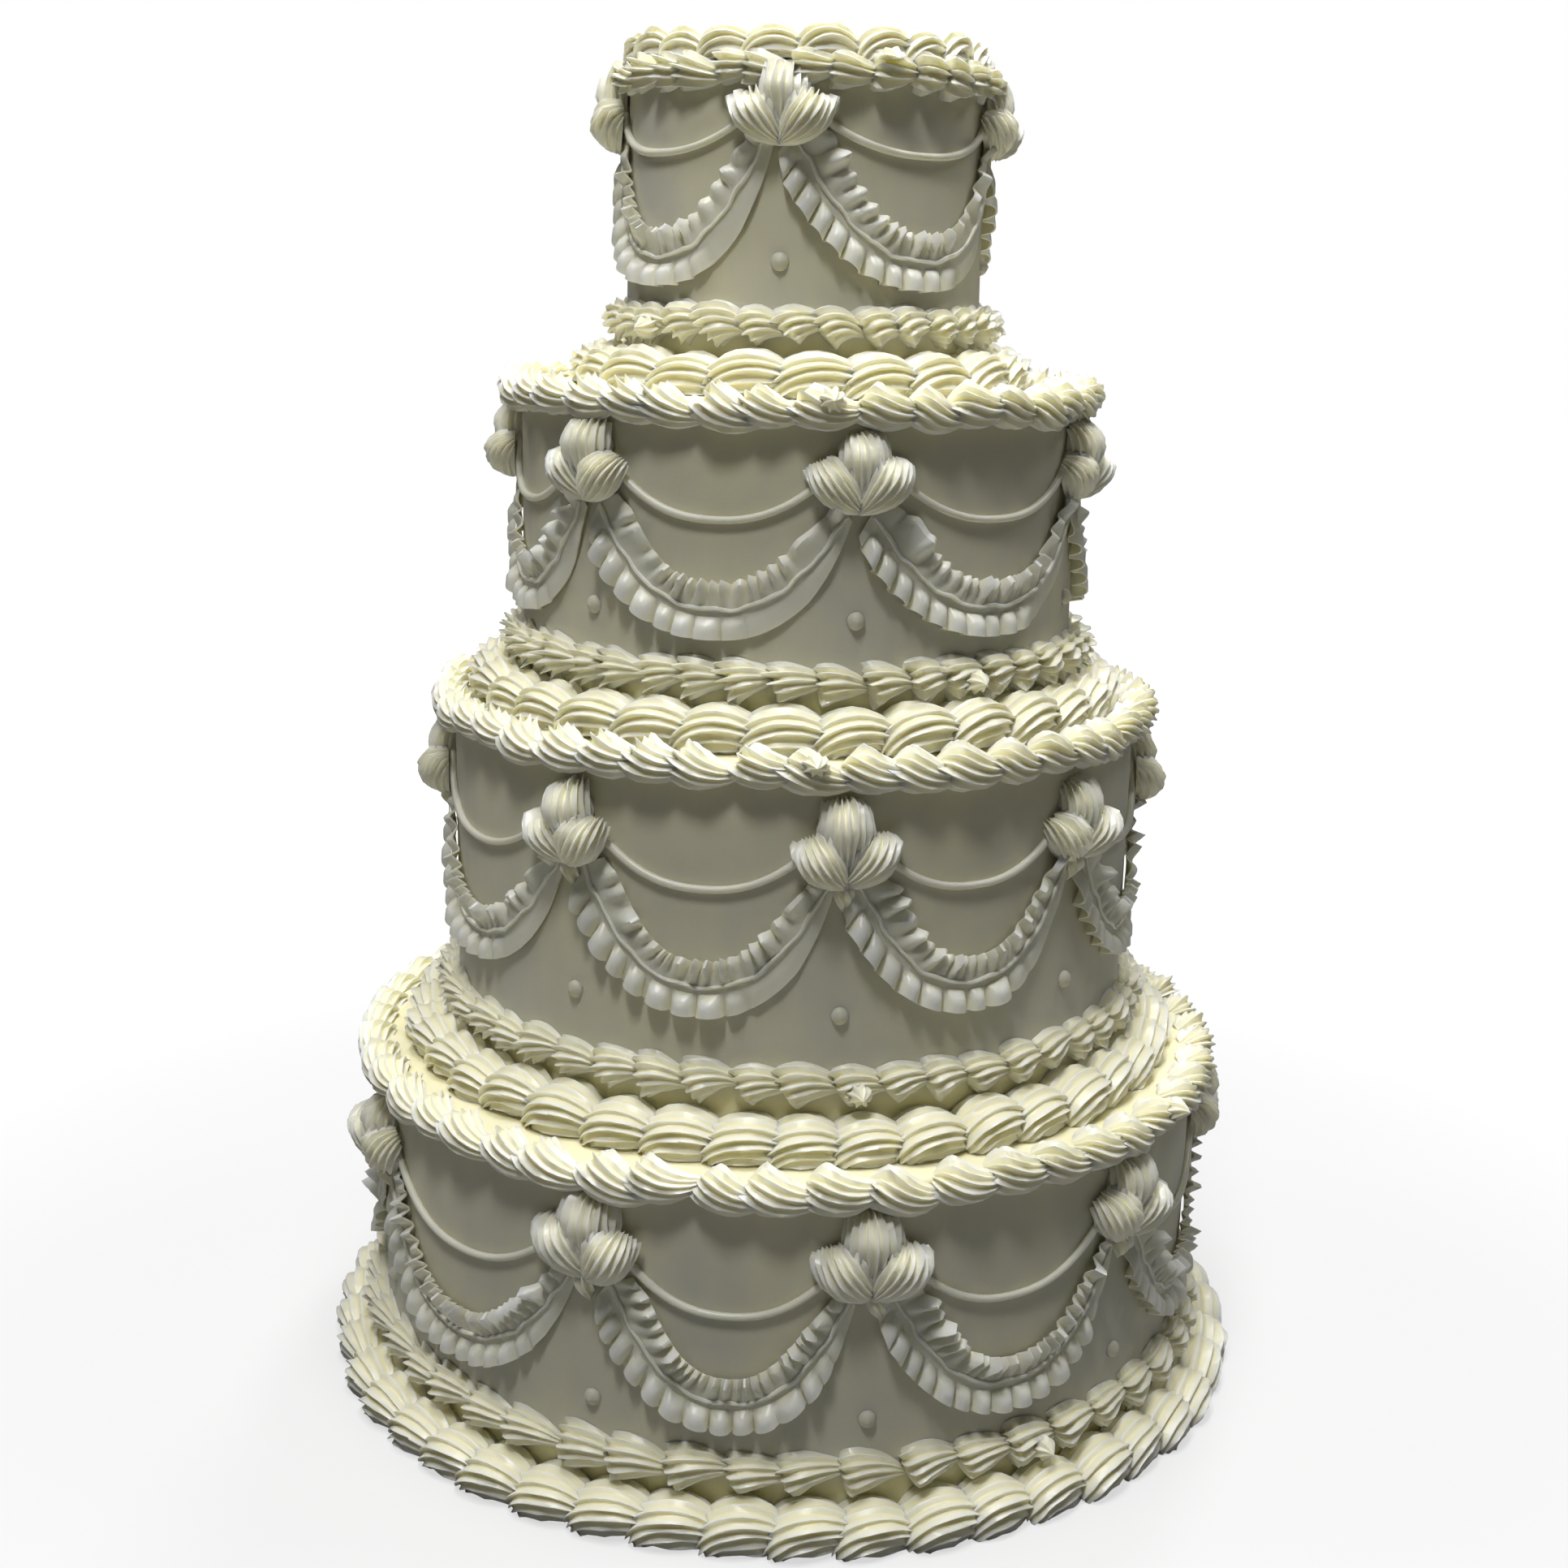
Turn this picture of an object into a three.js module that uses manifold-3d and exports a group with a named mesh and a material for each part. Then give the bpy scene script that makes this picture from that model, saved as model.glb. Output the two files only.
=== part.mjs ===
// A four-tier wedding cake in ivory buttercream: four round tiers stacked straight on each other,
// each edged with rows of piped shells and hung with ruffled garlands, string lines, fleurs and pearls.
// Millimetres, +Z up, origin at the centre of the bottom face. Azimuth 0 faces -Y and grows towards +X.
import * as THREE from "three";
import { LoftGeometry } from "three/addons/geometries/LoftGeometry.js";
import { mergeVertices } from "three/addons/utils/BufferGeometryUtils.js";
import Module from "manifold-3d";

// ---- Driving dimensions ----

const GAP = 0.3; // left between neighbouring solids
const TIER_FLATS = 60; // flats round a tier's wall

// The tiers from the top one down. "Drop" is a distance below the tier's own top edge, "lift" one above
// its foot. The fleurs stand at the azimuths given, and the rest of them are spread evenly round the back.
const TIERS = [
  {
    number: 1,
    topRadius: 77.5,
    footRadius: 79,
    height: 133.6,
    fleurAzimuths: [-92, -8, 84],
    fleurCount: 4,
    fleur: { halfWidth: 22, rise: 27.5, fall: 14, drop: 25 },
    crownShells: 22,
    rimShells: 30,
    footShells: 30,
    baseShells: 21,
    stringLowDrop: 36,
    garland: { steps: 10, topEnd: 33, topLow: 67, bottomEnd: 45, bottomLow: 87 },
    pearlLift: 54,
  },
  {
    number: 2,
    topRadius: 125.3,
    footRadius: 125.3,
    height: 138.9,
    fleurAzimuths: [-92, -42.5, 11.5, 70],
    fleurCount: 7,
    fleur: { halfWidth: 21, rise: 18.5, fall: 18, drop: 29 },
    rimShells: 38,
    footShells: 43,
    baseShells: 31,
    stringLowDrop: 45,
    garland: { steps: 8, topEnd: 41, topLow: 73, bottomEnd: 55, bottomLow: 94 },
    pearlLift: 52,
  },
  {
    number: 3,
    topRadius: 156.9,
    footRadius: 156.9,
    height: 162.4,
    fleurAzimuths: [-86, -35, 8, 49, 91],
    fleurCount: 8,
    fleur: { halfWidth: 21.5, rise: 22, fall: 24, drop: 35 },
    rimShells: 46,
    footShells: 50,
    baseShells: 40,
    stringLowDrop: 51,
    garland: { steps: 8, topEnd: 46, topLow: 81, bottomEnd: 60, bottomLow: 107 },
    pearlLift: 57,
  },
  {
    number: 4,
    topRadius: 193.6,
    footRadius: 193.6,
    height: 154.3,
    fleurAzimuths: [-67.5, -24, 11, 48.5, 86],
    fleurCount: 9,
    fleur: { halfWidth: 23.5, rise: 20.5, fall: 30, drop: 32 },
    rimShells: 51,
    footShells: 50,
    baseShells: 47,
    stringLowDrop: 56,
    garland: { steps: 8, topEnd: 47, topLow: 76, bottomEnd: 61, bottomLow: 106 },
    pearlLift: 50,
  },
];

// A piped shell swells at its head and tapers to a tail, which the next shell's head covers.
const SHELL_TAIL_AT = 0.8; // share of the pitch at which the tail ends
const SHELL_TAIL_SIZE = 0.55; // tail's size against the head's
const SHELL_UNEVEN = 0.08; // share by which heads and places vary by hand

// The rows of shells. A seed starts the draws for a row's unevenness, with the tier's number added.
const RIM_BORDER = { inward: 8, upward: 8.5, outward: 9, downward: 7, seed: 20 }; // on a tier's top edge
const TOP_RIM_BORDER = { centreDrop: 6.4, halfHeight: 6, outward: 9, seed: 20 }; // under the crown
const CROWN_BORDER = { inward: 15, upward: 16, outward: 4, seed: 10 }; // stands on the top tier's edge
const FOOT_BORDER = { centreLift: 26, halfHeight: 7.8, outward: 10, seed: 30 }; // on a wall, near its foot
const BASE_BORDER = { outward: 22, upward: 17.5, seed: 40 }; // in the corner at a tier's foot

// How round those rows are: where the corners of a section lie, as shares of its size.
const WALL_SHOULDER = 0.5; // height of the outer corners above and below the middle
const WALL_UNDERCUT = 0.9; // reach of the lower corner
const CROWN_FOOT = 0.7; // reach of the outer foot
const BASE_SHOULDER = { out: 0.72, up: 0.82 };

const STRING_DIAMETER = 3.4;
const STRING_STEP = 10; // degrees, at most

const GARLAND_THICKNESS = 3; // where a swag is gathered under a fleur
const PLEAT_OUTWARD = 8.5; // how far a pleat stands from the wall at the middle of a swag
const PLEAT_INWARD = 4.5; // the same in the fold between two pleats
const GARLAND_SHOULDER = { out: 0.8, down: 0.15 }; // its upper corner, as shares of its reach and width
const LINE_FULLNESS = 2; // a hanging line is a parabola
const HEM_FULLNESS = 2.6; // a garland's lower edge is fuller

const FLEUR_BACK = 6.4; // from the wall to a fleur's back, which lies over the string and the garland
const FLEUR_FRONT = 16.5; // from the wall to its front
const FLEUR_FRONT_SHARE = 0.68; // its front outline against its back one
const TOP_FLEUR_LEAN = 9; // the top tier's fleurs lie over its rim border, this much further out

const PEARL_DIAMETER = 7.6;
const PEARL_SIDES = 6;

const IVORY = 0xe9e6d2;
const PALE_IVORY = 0xeeebd6;
const SMOOTH_ICING = new THREE.MeshStandardMaterial({ color: IVORY, roughness: 0.5, metalness: 0 });
const PIPED_ICING = new THREE.MeshStandardMaterial({ color: PALE_IVORY, roughness: 0.42, metalness: 0 });

// ---- Helpers ----

const RANDOM = { factor: 1664525, step: 1013904223, range: 2 ** 32 }; // a linear congruence
const WELD = 1e-3; // points nearer than this are one

const wasm = await Module();
wasm.setup();

/** A repeatable source of numbers from 0 to 1. */
function seededRandom(seed) {
  const { factor, step, range } = RANDOM;
  let state = seed;
  return () => {
    state = (state * factor + step) % range;
    return state / range;
  };
}

/** The point at an azimuth in degrees, a distance from the axis and a height. */
function spot(azimuth, radius, z) {
  const angle = THREE.MathUtils.degToRad(azimuth);
  return new THREE.Vector3(radius * Math.sin(angle), -radius * Math.cos(angle), z);
}

/** A geometry as a manifold-3d solid. */
function solidOf(geometry) {
  const bare = new THREE.BufferGeometry()
    .setAttribute("position", geometry.getAttribute("position"))
    .setIndex(geometry.getIndex());
  const merged = mergeVertices(bare, WELD);
  return new wasm.Manifold(
    new wasm.Mesh({
      numProp: 3,
      vertProperties: merged.getAttribute("position").array,
      triVerts: new Uint32Array(merged.getIndex().array),
    }),
  );
}

/** A manifold-3d solid as a geometry. */
function geometryOf(solid) {
  const mesh = solid.getMesh();
  const geometry = new THREE.BufferGeometry()
    .setAttribute("position", new THREE.BufferAttribute(mesh.vertProperties, 3))
    .setIndex(new THREE.BufferAttribute(mesh.triVerts, 1));
  geometry.computeVertexNormals();
  return geometry;
}

/** The wall's distance from the axis at a height. */
function wallRadius(tier, z) {
  const share = THREE.MathUtils.clamp((z - tier.footZ) / tier.height, 0, 1);
  return THREE.MathUtils.lerp(tier.footRadius, tier.topRadius, share);
}

/**
 * A closed ring round a tier. Each station has an azimuth and a section: points of distance out from
 * the wall and height, running up the wall and back down outside. Its flats stay a gap off the wall.
 */
function ringRound(tier, stations) {
  const turns = stations.map((s, i) => {
    const next = i + 1 < stations.length ? stations[i + 1].azimuth : stations[0].azimuth + 360;
    return next - s.azimuth;
  });
  const halfTurn = THREE.MathUtils.degToRad(Math.max(...turns) / 2);
  const sections = stations.map(({ azimuth, section }) =>
    section.map(([out, z]) => spot(azimuth, (wallRadius(tier, z) + GAP) / Math.cos(halfTurn) + out, z)),
  );
  sections.push(sections[0]);
  return new LoftGeometry(sections);
}

/** A row of piped shells: sectionAt gives the row's section for a size, 1 being a full head. */
function shellRow(tier, count, { seed }, sectionAt) {
  const random = seededRandom(seed + tier.number);
  const pitch = 360 / count;
  const stations = [];
  for (let i = 0; i < count; i++) {
    const head = 1 + SHELL_UNEVEN * (random() - 0.5);
    const start = (i + SHELL_UNEVEN * random()) * pitch;
    stations.push({ azimuth: start, section: sectionAt(head) });
    stations.push({ azimuth: (i + SHELL_TAIL_AT) * pitch, section: sectionAt(SHELL_TAIL_SIZE) });
  }
  return ringRound(tier, stations);
}

/** The azimuths of a tier's fleurs: the given ones, then the rest evenly from the last to the first. */
function fleurAzimuths(tier) {
  const given = tier.fleurAzimuths;
  const last = given[given.length - 1];
  const missing = tier.fleurCount - given.length;
  const step = (given[0] + 360 - last) / (missing + 1);
  return [...given, ...Array.from({ length: missing }, (_, i) => last + step * (i + 1))];
}

/** The stations of the swags between a tier's fleurs: an azimuth and the share of its own swag. */
function swagStations(tier, stepsIn) {
  const azimuths = fleurAzimuths(tier);
  return azimuths.flatMap((start, i) => {
    const end = i + 1 < azimuths.length ? azimuths[i + 1] : azimuths[0] + 360;
    const steps = stepsIn(end - start);
    return Array.from({ length: steps }, (_, k) => {
      const share = k / steps;
      return { azimuth: THREE.MathUtils.lerp(start, end, share), share, step: k };
    });
  });
}

/** How far a hanging line has sunk at a share of its swag, from 0 at its ends to 1 at its middle. */
function sag(share, fullness = LINE_FULLNESS) {
  return 1 - Math.abs(2 * share - 1) ** fullness;
}

// ---- Pieces ----

/** A tier with a pearl under each fleur. */
function tierGeometry(tier) {
  const profile = [
    new THREE.Vector2(0, 0),
    new THREE.Vector2(tier.footRadius, 0),
    new THREE.Vector2(tier.topRadius, tier.height),
    new THREE.Vector2(0, tier.height),
  ];
  const body = new THREE.LatheGeometry(profile, TIER_FLATS).rotateX(Math.PI / 2).translate(0, 0, tier.footZ);
  let solid = solidOf(body);
  for (const azimuth of fleurAzimuths(tier)) {
    const z = tier.footZ + tier.pearlLift;
    const at = spot(azimuth, wallRadius(tier, z), z);
    const pearl = new THREE.SphereGeometry(PEARL_DIAMETER / 2, PEARL_SIDES, PEARL_SIDES / 2)
      .rotateZ(THREE.MathUtils.degToRad(azimuth))
      .translate(at.x, at.y, at.z);
    solid = solid.add(solidOf(pearl));
  }
  return geometryOf(solid);
}

/** The shells that wrap a tier's top edge, part on its top and part on its wall. */
function rimBorderGeometry(tier) {
  const { inward, upward, outward, downward } = RIM_BORDER;
  const top = tier.topZ;
  return shellRow(tier, tier.rimShells, RIM_BORDER, (size) => [
    [0, top - downward * size],
    [0, top + GAP],
    [-inward * size, top + GAP],
    [outward * size, top + upward * size],
  ]);
}

/** A row of small shells on a wall, its middle at a height. */
function wallBorderGeometry(tier, count, border, centreZ) {
  const { halfHeight, outward } = border;
  return shellRow(tier, count, border, (size) => [
    [0, centreZ - halfHeight * size],
    [0, centreZ + halfHeight * size],
    [outward * size, centreZ + halfHeight * size * WALL_SHOULDER],
    [outward * size * WALL_UNDERCUT, centreZ - halfHeight * size * WALL_SHOULDER],
  ]);
}

/** The big shells that stand on the top tier's edge. */
function crownBorderGeometry(tier) {
  const { inward, upward, outward } = CROWN_BORDER;
  const bottom = tier.topZ + GAP;
  return shellRow(tier, tier.crownShells, CROWN_BORDER, (size) => [
    [-inward * size, bottom],
    [(-inward * size) / 2, bottom + upward * size],
    [outward * size, bottom + (upward * size) / 2],
    [outward * size * CROWN_FOOT, bottom],
  ]);
}

/** The big shells that fill the corner between a tier's foot and what it stands on. */
function baseBorderGeometry(tier) {
  const { outward, upward } = BASE_BORDER;
  const bottom = tier.number === TIERS.length ? 0 : tier.footZ;
  return shellRow(tier, tier.baseShells, BASE_BORDER, (size) => [
    [0, bottom],
    [0, bottom + upward * size],
    [outward * size * BASE_SHOULDER.out, bottom + upward * size * BASE_SHOULDER.up],
    [outward * size, bottom],
  ]);
}

/** The thin piped lines that hang from fleur to fleur. */
function stringGeometry(tier) {
  const endDrop = tier.fleur.drop;
  const stations = swagStations(tier, (span) => Math.ceil(span / STRING_STEP));
  return ringRound(
    tier,
    stations.map(({ azimuth, share }) => {
      const z = tier.topZ - THREE.MathUtils.lerp(endDrop, tier.stringLowDrop, sag(share));
      const section = [
        [0, z - STRING_DIAMETER / 2],
        [0, z + STRING_DIAMETER / 2],
        [STRING_DIAMETER, z],
      ];
      return { azimuth, section };
    }),
  );
}

/** The ruffled band that hangs in swags: pleats stand out between folds, most at a swag's middle. */
function garlandGeometry(tier) {
  const { steps, topEnd, topLow, bottomEnd, bottomLow } = tier.garland;
  const stations = swagStations(tier, () => steps);
  return ringRound(
    tier,
    stations.map(({ azimuth, share, step }) => {
      const top = tier.topZ - THREE.MathUtils.lerp(topEnd, topLow, sag(share));
      const bottom = tier.topZ - THREE.MathUtils.lerp(bottomEnd, bottomLow, sag(share, HEM_FULLNESS));
      const full = step % 2 === 0 ? PLEAT_INWARD : PLEAT_OUTWARD;
      const out = THREE.MathUtils.lerp(GARLAND_THICKNESS, full, Math.min(1, 2 * sag(share)));
      const section = [
        [0, bottom],
        [0, top],
        [out * GARLAND_SHOULDER.out, top - (top - bottom) * GARLAND_SHOULDER.down],
        [out, bottom],
      ];
      return { azimuth, section };
    }),
  );
}

/**
 * A fleur: three shells whose heads fan out and whose tails meet in a drop below. Its right half runs
 * from the top shell's head to the side shell's, as shares of the half width and of the rise or fall.
 */
function fleurGeometry(tier, azimuth) {
  const { halfWidth, rise, fall, drop } = tier.fleur;
  const rightHalf = [
    [0.2, 1],
    [0.44, 0.72],
    [0.36, 0.42],
    [0.76, 0.46],
    [1, 0.08],
    [0.8, -0.28],
  ];
  const leftHalf = rightHalf.map(([x, y]) => [-x, y]);
  const outline = [...leftHalf, [0, -1], ...rightHalf.toReversed()];
  const leans = tier.number === 1;
  const ring = (out, share) =>
    outline.map(([x, y]) => {
      const up = y * share * (y > 0 ? rise : fall);
      const z = tier.topZ - drop + up;
      const lean = leans ? TOP_FLEUR_LEAN * THREE.MathUtils.clamp(up / TOP_FLEUR_LEAN, 0, 1) : 0;
      const radius = wallRadius(tier, z) + out + lean;
      const aside = THREE.MathUtils.radToDeg((x * share * halfWidth) / radius);
      return spot(azimuth + aside, radius, z);
    });
  const sections = [ring(FLEUR_BACK, 1), ring(FLEUR_FRONT, FLEUR_FRONT_SHARE)];
  return new LoftGeometry(sections, { capStart: true, capEnd: true });
}

// ---- The cake ----

const cake = new THREE.Group();

/** Adds one named piece to the cake. */
function addPiece(name, geometry, material) {
  const mesh = new THREE.Mesh(geometry, material);
  mesh.name = name;
  cake.add(mesh);
}

let standingZ = 0;
for (const tier of [...TIERS].reverse()) {
  tier.footZ = standingZ + (standingZ > 0 ? GAP : 0);
  tier.height -= standingZ > 0 ? GAP : 0;
  tier.topZ = tier.footZ + tier.height;
  standingZ = tier.topZ;
}

for (const tier of TIERS) {
  const n = tier.number;
  const footRowZ = tier.footZ + FOOT_BORDER.centreLift;
  const footRow = wallBorderGeometry(tier, tier.footShells, FOOT_BORDER, footRowZ);
  addPiece(`tier_${n}`, tierGeometry(tier), SMOOTH_ICING);
  if (n === 1) {
    const rimRowZ = tier.topZ - TOP_RIM_BORDER.centreDrop;
    const rimRow = wallBorderGeometry(tier, tier.rimShells, TOP_RIM_BORDER, rimRowZ);
    addPiece("crown_border_1", crownBorderGeometry(tier), PIPED_ICING);
    addPiece("rim_border_1", rimRow, PIPED_ICING);
  } else {
    addPiece(`rim_border_${n}`, rimBorderGeometry(tier), PIPED_ICING);
  }
  addPiece(`foot_border_${n}`, footRow, PIPED_ICING);
  addPiece(`base_border_${n}`, baseBorderGeometry(tier), PIPED_ICING);
  addPiece(`string_${n}`, stringGeometry(tier), PIPED_ICING);
  addPiece(`garland_${n}`, garlandGeometry(tier), PIPED_ICING);
  fleurAzimuths(tier).forEach((azimuth, i) => {
    addPiece(`fleur_${n}_${i + 1}`, fleurGeometry(tier, azimuth), PIPED_ICING);
  });
}

export default cake;
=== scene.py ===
"""Dresses a four-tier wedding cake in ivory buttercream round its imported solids.

Every piece is modelled flat first, in the frame of the cake's front: X runs along the wall to the
right, -Y stands out from it and Z is up. It is then laid round the wall of its own tier.
"""

import logging
import math
from collections.abc import Callable, Iterator
from contextlib import contextmanager
from dataclasses import dataclass, field, replace
from enum import Enum
from itertools import pairwise

import bpy
import numpy as np
from bpy.types import ID, Material, Node, NodeSocket, NodeTree, Object
from mathutils import Matrix, Vector
from numpy.random import Generator

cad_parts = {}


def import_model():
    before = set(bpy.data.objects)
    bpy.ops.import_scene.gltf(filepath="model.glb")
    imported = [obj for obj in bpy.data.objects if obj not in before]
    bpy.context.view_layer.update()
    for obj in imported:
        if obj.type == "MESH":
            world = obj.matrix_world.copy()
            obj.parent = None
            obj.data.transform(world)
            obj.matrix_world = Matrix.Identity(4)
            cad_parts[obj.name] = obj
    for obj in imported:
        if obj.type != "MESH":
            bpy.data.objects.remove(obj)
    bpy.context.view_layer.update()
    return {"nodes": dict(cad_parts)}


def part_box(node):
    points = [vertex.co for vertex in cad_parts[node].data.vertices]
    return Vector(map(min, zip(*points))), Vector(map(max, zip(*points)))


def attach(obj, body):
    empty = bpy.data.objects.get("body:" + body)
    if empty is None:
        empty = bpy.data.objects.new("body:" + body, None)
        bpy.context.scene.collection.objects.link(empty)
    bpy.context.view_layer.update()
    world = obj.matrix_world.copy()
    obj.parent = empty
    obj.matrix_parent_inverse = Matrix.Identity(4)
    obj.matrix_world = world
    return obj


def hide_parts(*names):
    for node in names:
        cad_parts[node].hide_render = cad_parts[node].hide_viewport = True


MM = 0.001
BODY = "root"
# Crest heights of piped ridges, kept as an attribute. The icings read it as the share of their pale colour,
# and the rest is painted light.
CREST = "crest"
RIDGE = "ridge"
WHITE = (1, 1, 1, 1)
# Edges that turn by more than these stay crisp.
PIPED_SOFT_ANGLE = math.radians(62)
RUFFLE_SOFT_ANGLE = math.radians(50)
TIER_SOFT_ANGLE = math.radians(35)

log = logging.getLogger("cake")


# ---------------------------------------------------------------- mesh helpers


def deselect_all() -> None:
    """Leaves nothing selected, so that the next operator acts on its own piece alone."""
    bpy.ops.object.select_all(action="DESELECT")


def activate(piece: Object) -> None:
    """Selects one piece alone and makes it the active one."""
    deselect_all()
    piece.select_set(True)
    bpy.context.view_layer.objects.active = piece


@contextmanager
def editing(piece: Object) -> Iterator[None]:
    """Edits one piece, with all of it selected, and returns to object mode."""
    activate(piece)
    bpy.ops.object.mode_set(mode="EDIT")
    bpy.ops.mesh.select_all(action="SELECT")
    yield
    bpy.ops.object.mode_set(mode="OBJECT")


def turn_faces_out() -> None:
    """Turns all faces of the piece that is being edited outward."""
    bpy.ops.mesh.select_all(action="SELECT")
    bpy.ops.mesh.normals_make_consistent(inside=False)


def add_shape(add: Callable[..., object], **values: object) -> Object:
    """Adds one of Blender's shapes.

    Args:
        add: the operator that adds it.
        **values: what the operator is told.

    Returns:
        The shape, unturned and unscaled at the origin.
    """
    deselect_all()
    add(**values)
    bpy.ops.object.transform_apply(location=True, rotation=True, scale=True)
    return bpy.context.active_object


def points_of(piece: Object) -> np.ndarray:
    """Reads a piece's vertices.

    Args:
        piece: a mesh object whose transform is applied.

    Returns:
        An array of one row of X, Y, Z a vertex, in metres.
    """
    flat = np.empty(len(piece.data.vertices) * 3, np.float32)
    piece.data.vertices.foreach_get("co", flat)
    return flat.reshape(-1, 3).astype(float)


def move_points(piece: Object, points: np.ndarray) -> None:
    """Writes a piece's vertices back, one row a vertex, in metres."""
    piece.data.vertices.foreach_set("co", points.astype(np.float32).ravel())
    piece.data.update()


def values_of(piece: Object, name: str) -> np.ndarray:
    """Reads one of a piece's attributes, one number a vertex."""
    values = np.empty(len(piece.data.vertices), np.float32)
    piece.data.attributes[name].data.foreach_get("value", values)
    return values.astype(float)


def set_values(piece: Object, name: str, values: np.ndarray | float) -> None:
    """Writes one number a vertex, or the same for all, to an attribute of a piece.

    Args:
        piece: the mesh object.
        name: the attribute, which is added if the piece has none of that name.
        values: the numbers.
    """
    attributes = piece.data.attributes
    attribute = attributes.get(name) or attributes.new(name, "FLOAT", "POINT")
    each = np.broadcast_to(np.asarray(values, np.float32), len(piece.data.vertices))
    attribute.data.foreach_set("value", np.ascontiguousarray(each))


def add_object(name: str, data: ID) -> Object:
    """Adds an object with the given mesh, curve, light or camera to the scene."""
    added = bpy.data.objects.new(name, data)
    bpy.context.scene.collection.objects.link(added)
    return added


def own_copy(piece: Object, name: str) -> Object:
    """Copies a piece with a mesh of its own and a new name."""
    return add_object(name, piece.data.copy())


def join_all(pieces: list[Object], name: str) -> Object:
    """Joins pieces to one mesh object.

    Args:
        pieces: the pieces, which are used up.
        name: the joined piece's name.

    Returns:
        The joined piece.
    """
    activate(pieces[0])
    for piece in pieces:
        piece.select_set(True)
    bpy.ops.object.join()
    joined = bpy.context.active_object
    joined.name = name
    joined.data.name = name
    return joined


def discard(pieces: list[Object]) -> None:
    """Removes patterns that were only there to be copied."""
    for piece in pieces:
        bpy.data.objects.remove(piece)


def turned(points: np.ndarray, angle: float, matrix_axis: str) -> np.ndarray:
    """Turns points about an axis through the origin.

    Args:
        points: one row a point.
        angle: in radians, by the right-hand rule.
        matrix_axis: "X", "Y" or "Z".

    Returns:
        The turned points.
    """
    return points @ np.array(Matrix.Rotation(angle, 3, matrix_axis)).T


# ---------------------------------------------------------------- the tiers, as packed


@dataclass(frozen=True)
class TierFrame:
    """One tier's wall and the places of its fleurs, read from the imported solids."""

    number: int
    foot_z: float
    top_z: float
    foot_radius: float
    top_radius: float
    fleurs: dict[str, float]

    @classmethod
    def read(cls, number: int, nodes: dict[str, Object]) -> "TierFrame":
        """Reads a tier from the frame.

        Args:
            number: 1 for the top tier, 4 for the lowest.
            nodes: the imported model's nodes.

        Returns:
            The tier's sizes.
        """
        points = points_of(nodes[f"tier_{number}"])
        foot_z, top_z = points[:, 2].min(), points[:, 2].max()
        reach = np.hypot(points[:, 0], points[:, 1])
        near = 0.5 * MM
        fleurs = {}
        for name in sorted(nodes):
            if name.startswith(f"fleur_{number}_"):
                low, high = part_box(name)
                middle = (low + high) / 2
                fleurs[name] = math.atan2(middle.x, -middle.y)
        return cls(
            number=number,
            foot_z=float(foot_z),
            top_z=float(top_z),
            foot_radius=float(reach[points[:, 2] < foot_z + near].max()),
            top_radius=float(reach[points[:, 2] > top_z - near].max()),
            fleurs=fleurs,
        )

    def fleur_azimuths(self) -> list[float]:
        """Gives the azimuths of the fleurs, once round from the front."""
        return sorted(azimuth % math.tau for azimuth in self.fleurs.values())

    def wall_radius(self, z: np.ndarray | float) -> np.ndarray | float:
        """Gives the wall's distance from the axis at a height or at several."""
        share = np.clip((z - self.foot_z) / (self.top_z - self.foot_z), 0, 1)
        return self.foot_radius + (self.top_radius - self.foot_radius) * share

    def swags(self) -> Iterator[tuple[float, float]]:
        """Yields the first azimuth and the span of each swag between two fleurs."""
        azimuths = self.fleur_azimuths()
        for start, following in zip(azimuths, azimuths[1:] + azimuths[:1]):
            yield start, (following - start) % math.tau

    def lay_round(self, piece: Object, azimuth: float, height: float) -> None:
        """Lays a piece that is modelled flat round the wall.

        Args:
            piece: the flat piece, with X along the wall and -Y out from it.
            azimuth: where its X = 0 goes.
            height: where its Z = 0 goes.
        """
        points = points_of(piece)
        angle = azimuth + points[:, 0] / self.wall_radius(height)
        z = height + points[:, 2]
        radius = self.wall_radius(z) - points[:, 1]
        move_points(piece, np.stack([radius * np.sin(angle), -radius * np.cos(angle), z], 1))


# ---------------------------------------------------------------- finishes


def new_node(tree: NodeTree, kind: str, **values: object) -> Node:
    """Adds a shader node and sets its properties and inputs by name.

    Args:
        tree: the material's or world's node tree.
        kind: the node's type.
        **values: properties of the node, or inputs, with _ for a space. An input that is given a
            socket is linked to it.

    Returns:
        The node.
    """
    node = tree.nodes.new(kind)
    for key, value in values.items():
        socket = node.inputs.get(key.replace("_", " "))
        if socket is None or hasattr(node, key):
            setattr(node, key, value)
        else:
            feed(tree, socket, value)
    return node


def feed(tree: NodeTree, socket: NodeSocket, value: object) -> None:
    """Gives an input its value, or links it where the value is a socket."""
    if isinstance(value, NodeSocket):
        tree.links.new(value, socket)
    else:
        socket.default_value = value


def maths(tree: NodeTree, operation: str, *terms: object, **values: object) -> NodeSocket:
    """Adds a math node.

    Args:
        tree: the node tree.
        operation: what it does.
        *terms: its numbers or sockets, in order.
        **values: further properties.

    Returns:
        Its result.
    """
    node = new_node(tree, "ShaderNodeMath", operation=operation, **values)
    for socket, term in zip(node.inputs, terms):
        feed(tree, socket, term)
    return node.outputs[0]


def new_material(name: str, **values: object) -> tuple[Material, NodeTree]:
    """Adds a material.

    Args:
        name: its name.
        **values: inputs of its shader, with _ for a space.

    Returns:
        The material and its node tree.
    """
    material = bpy.data.materials.new(name)
    material.use_nodes = True
    shader = material.node_tree.nodes["Principled BSDF"]
    for key, value in values.items():
        shader.inputs[key.replace("_", " ")].default_value = value
    return material, material.node_tree


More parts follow.
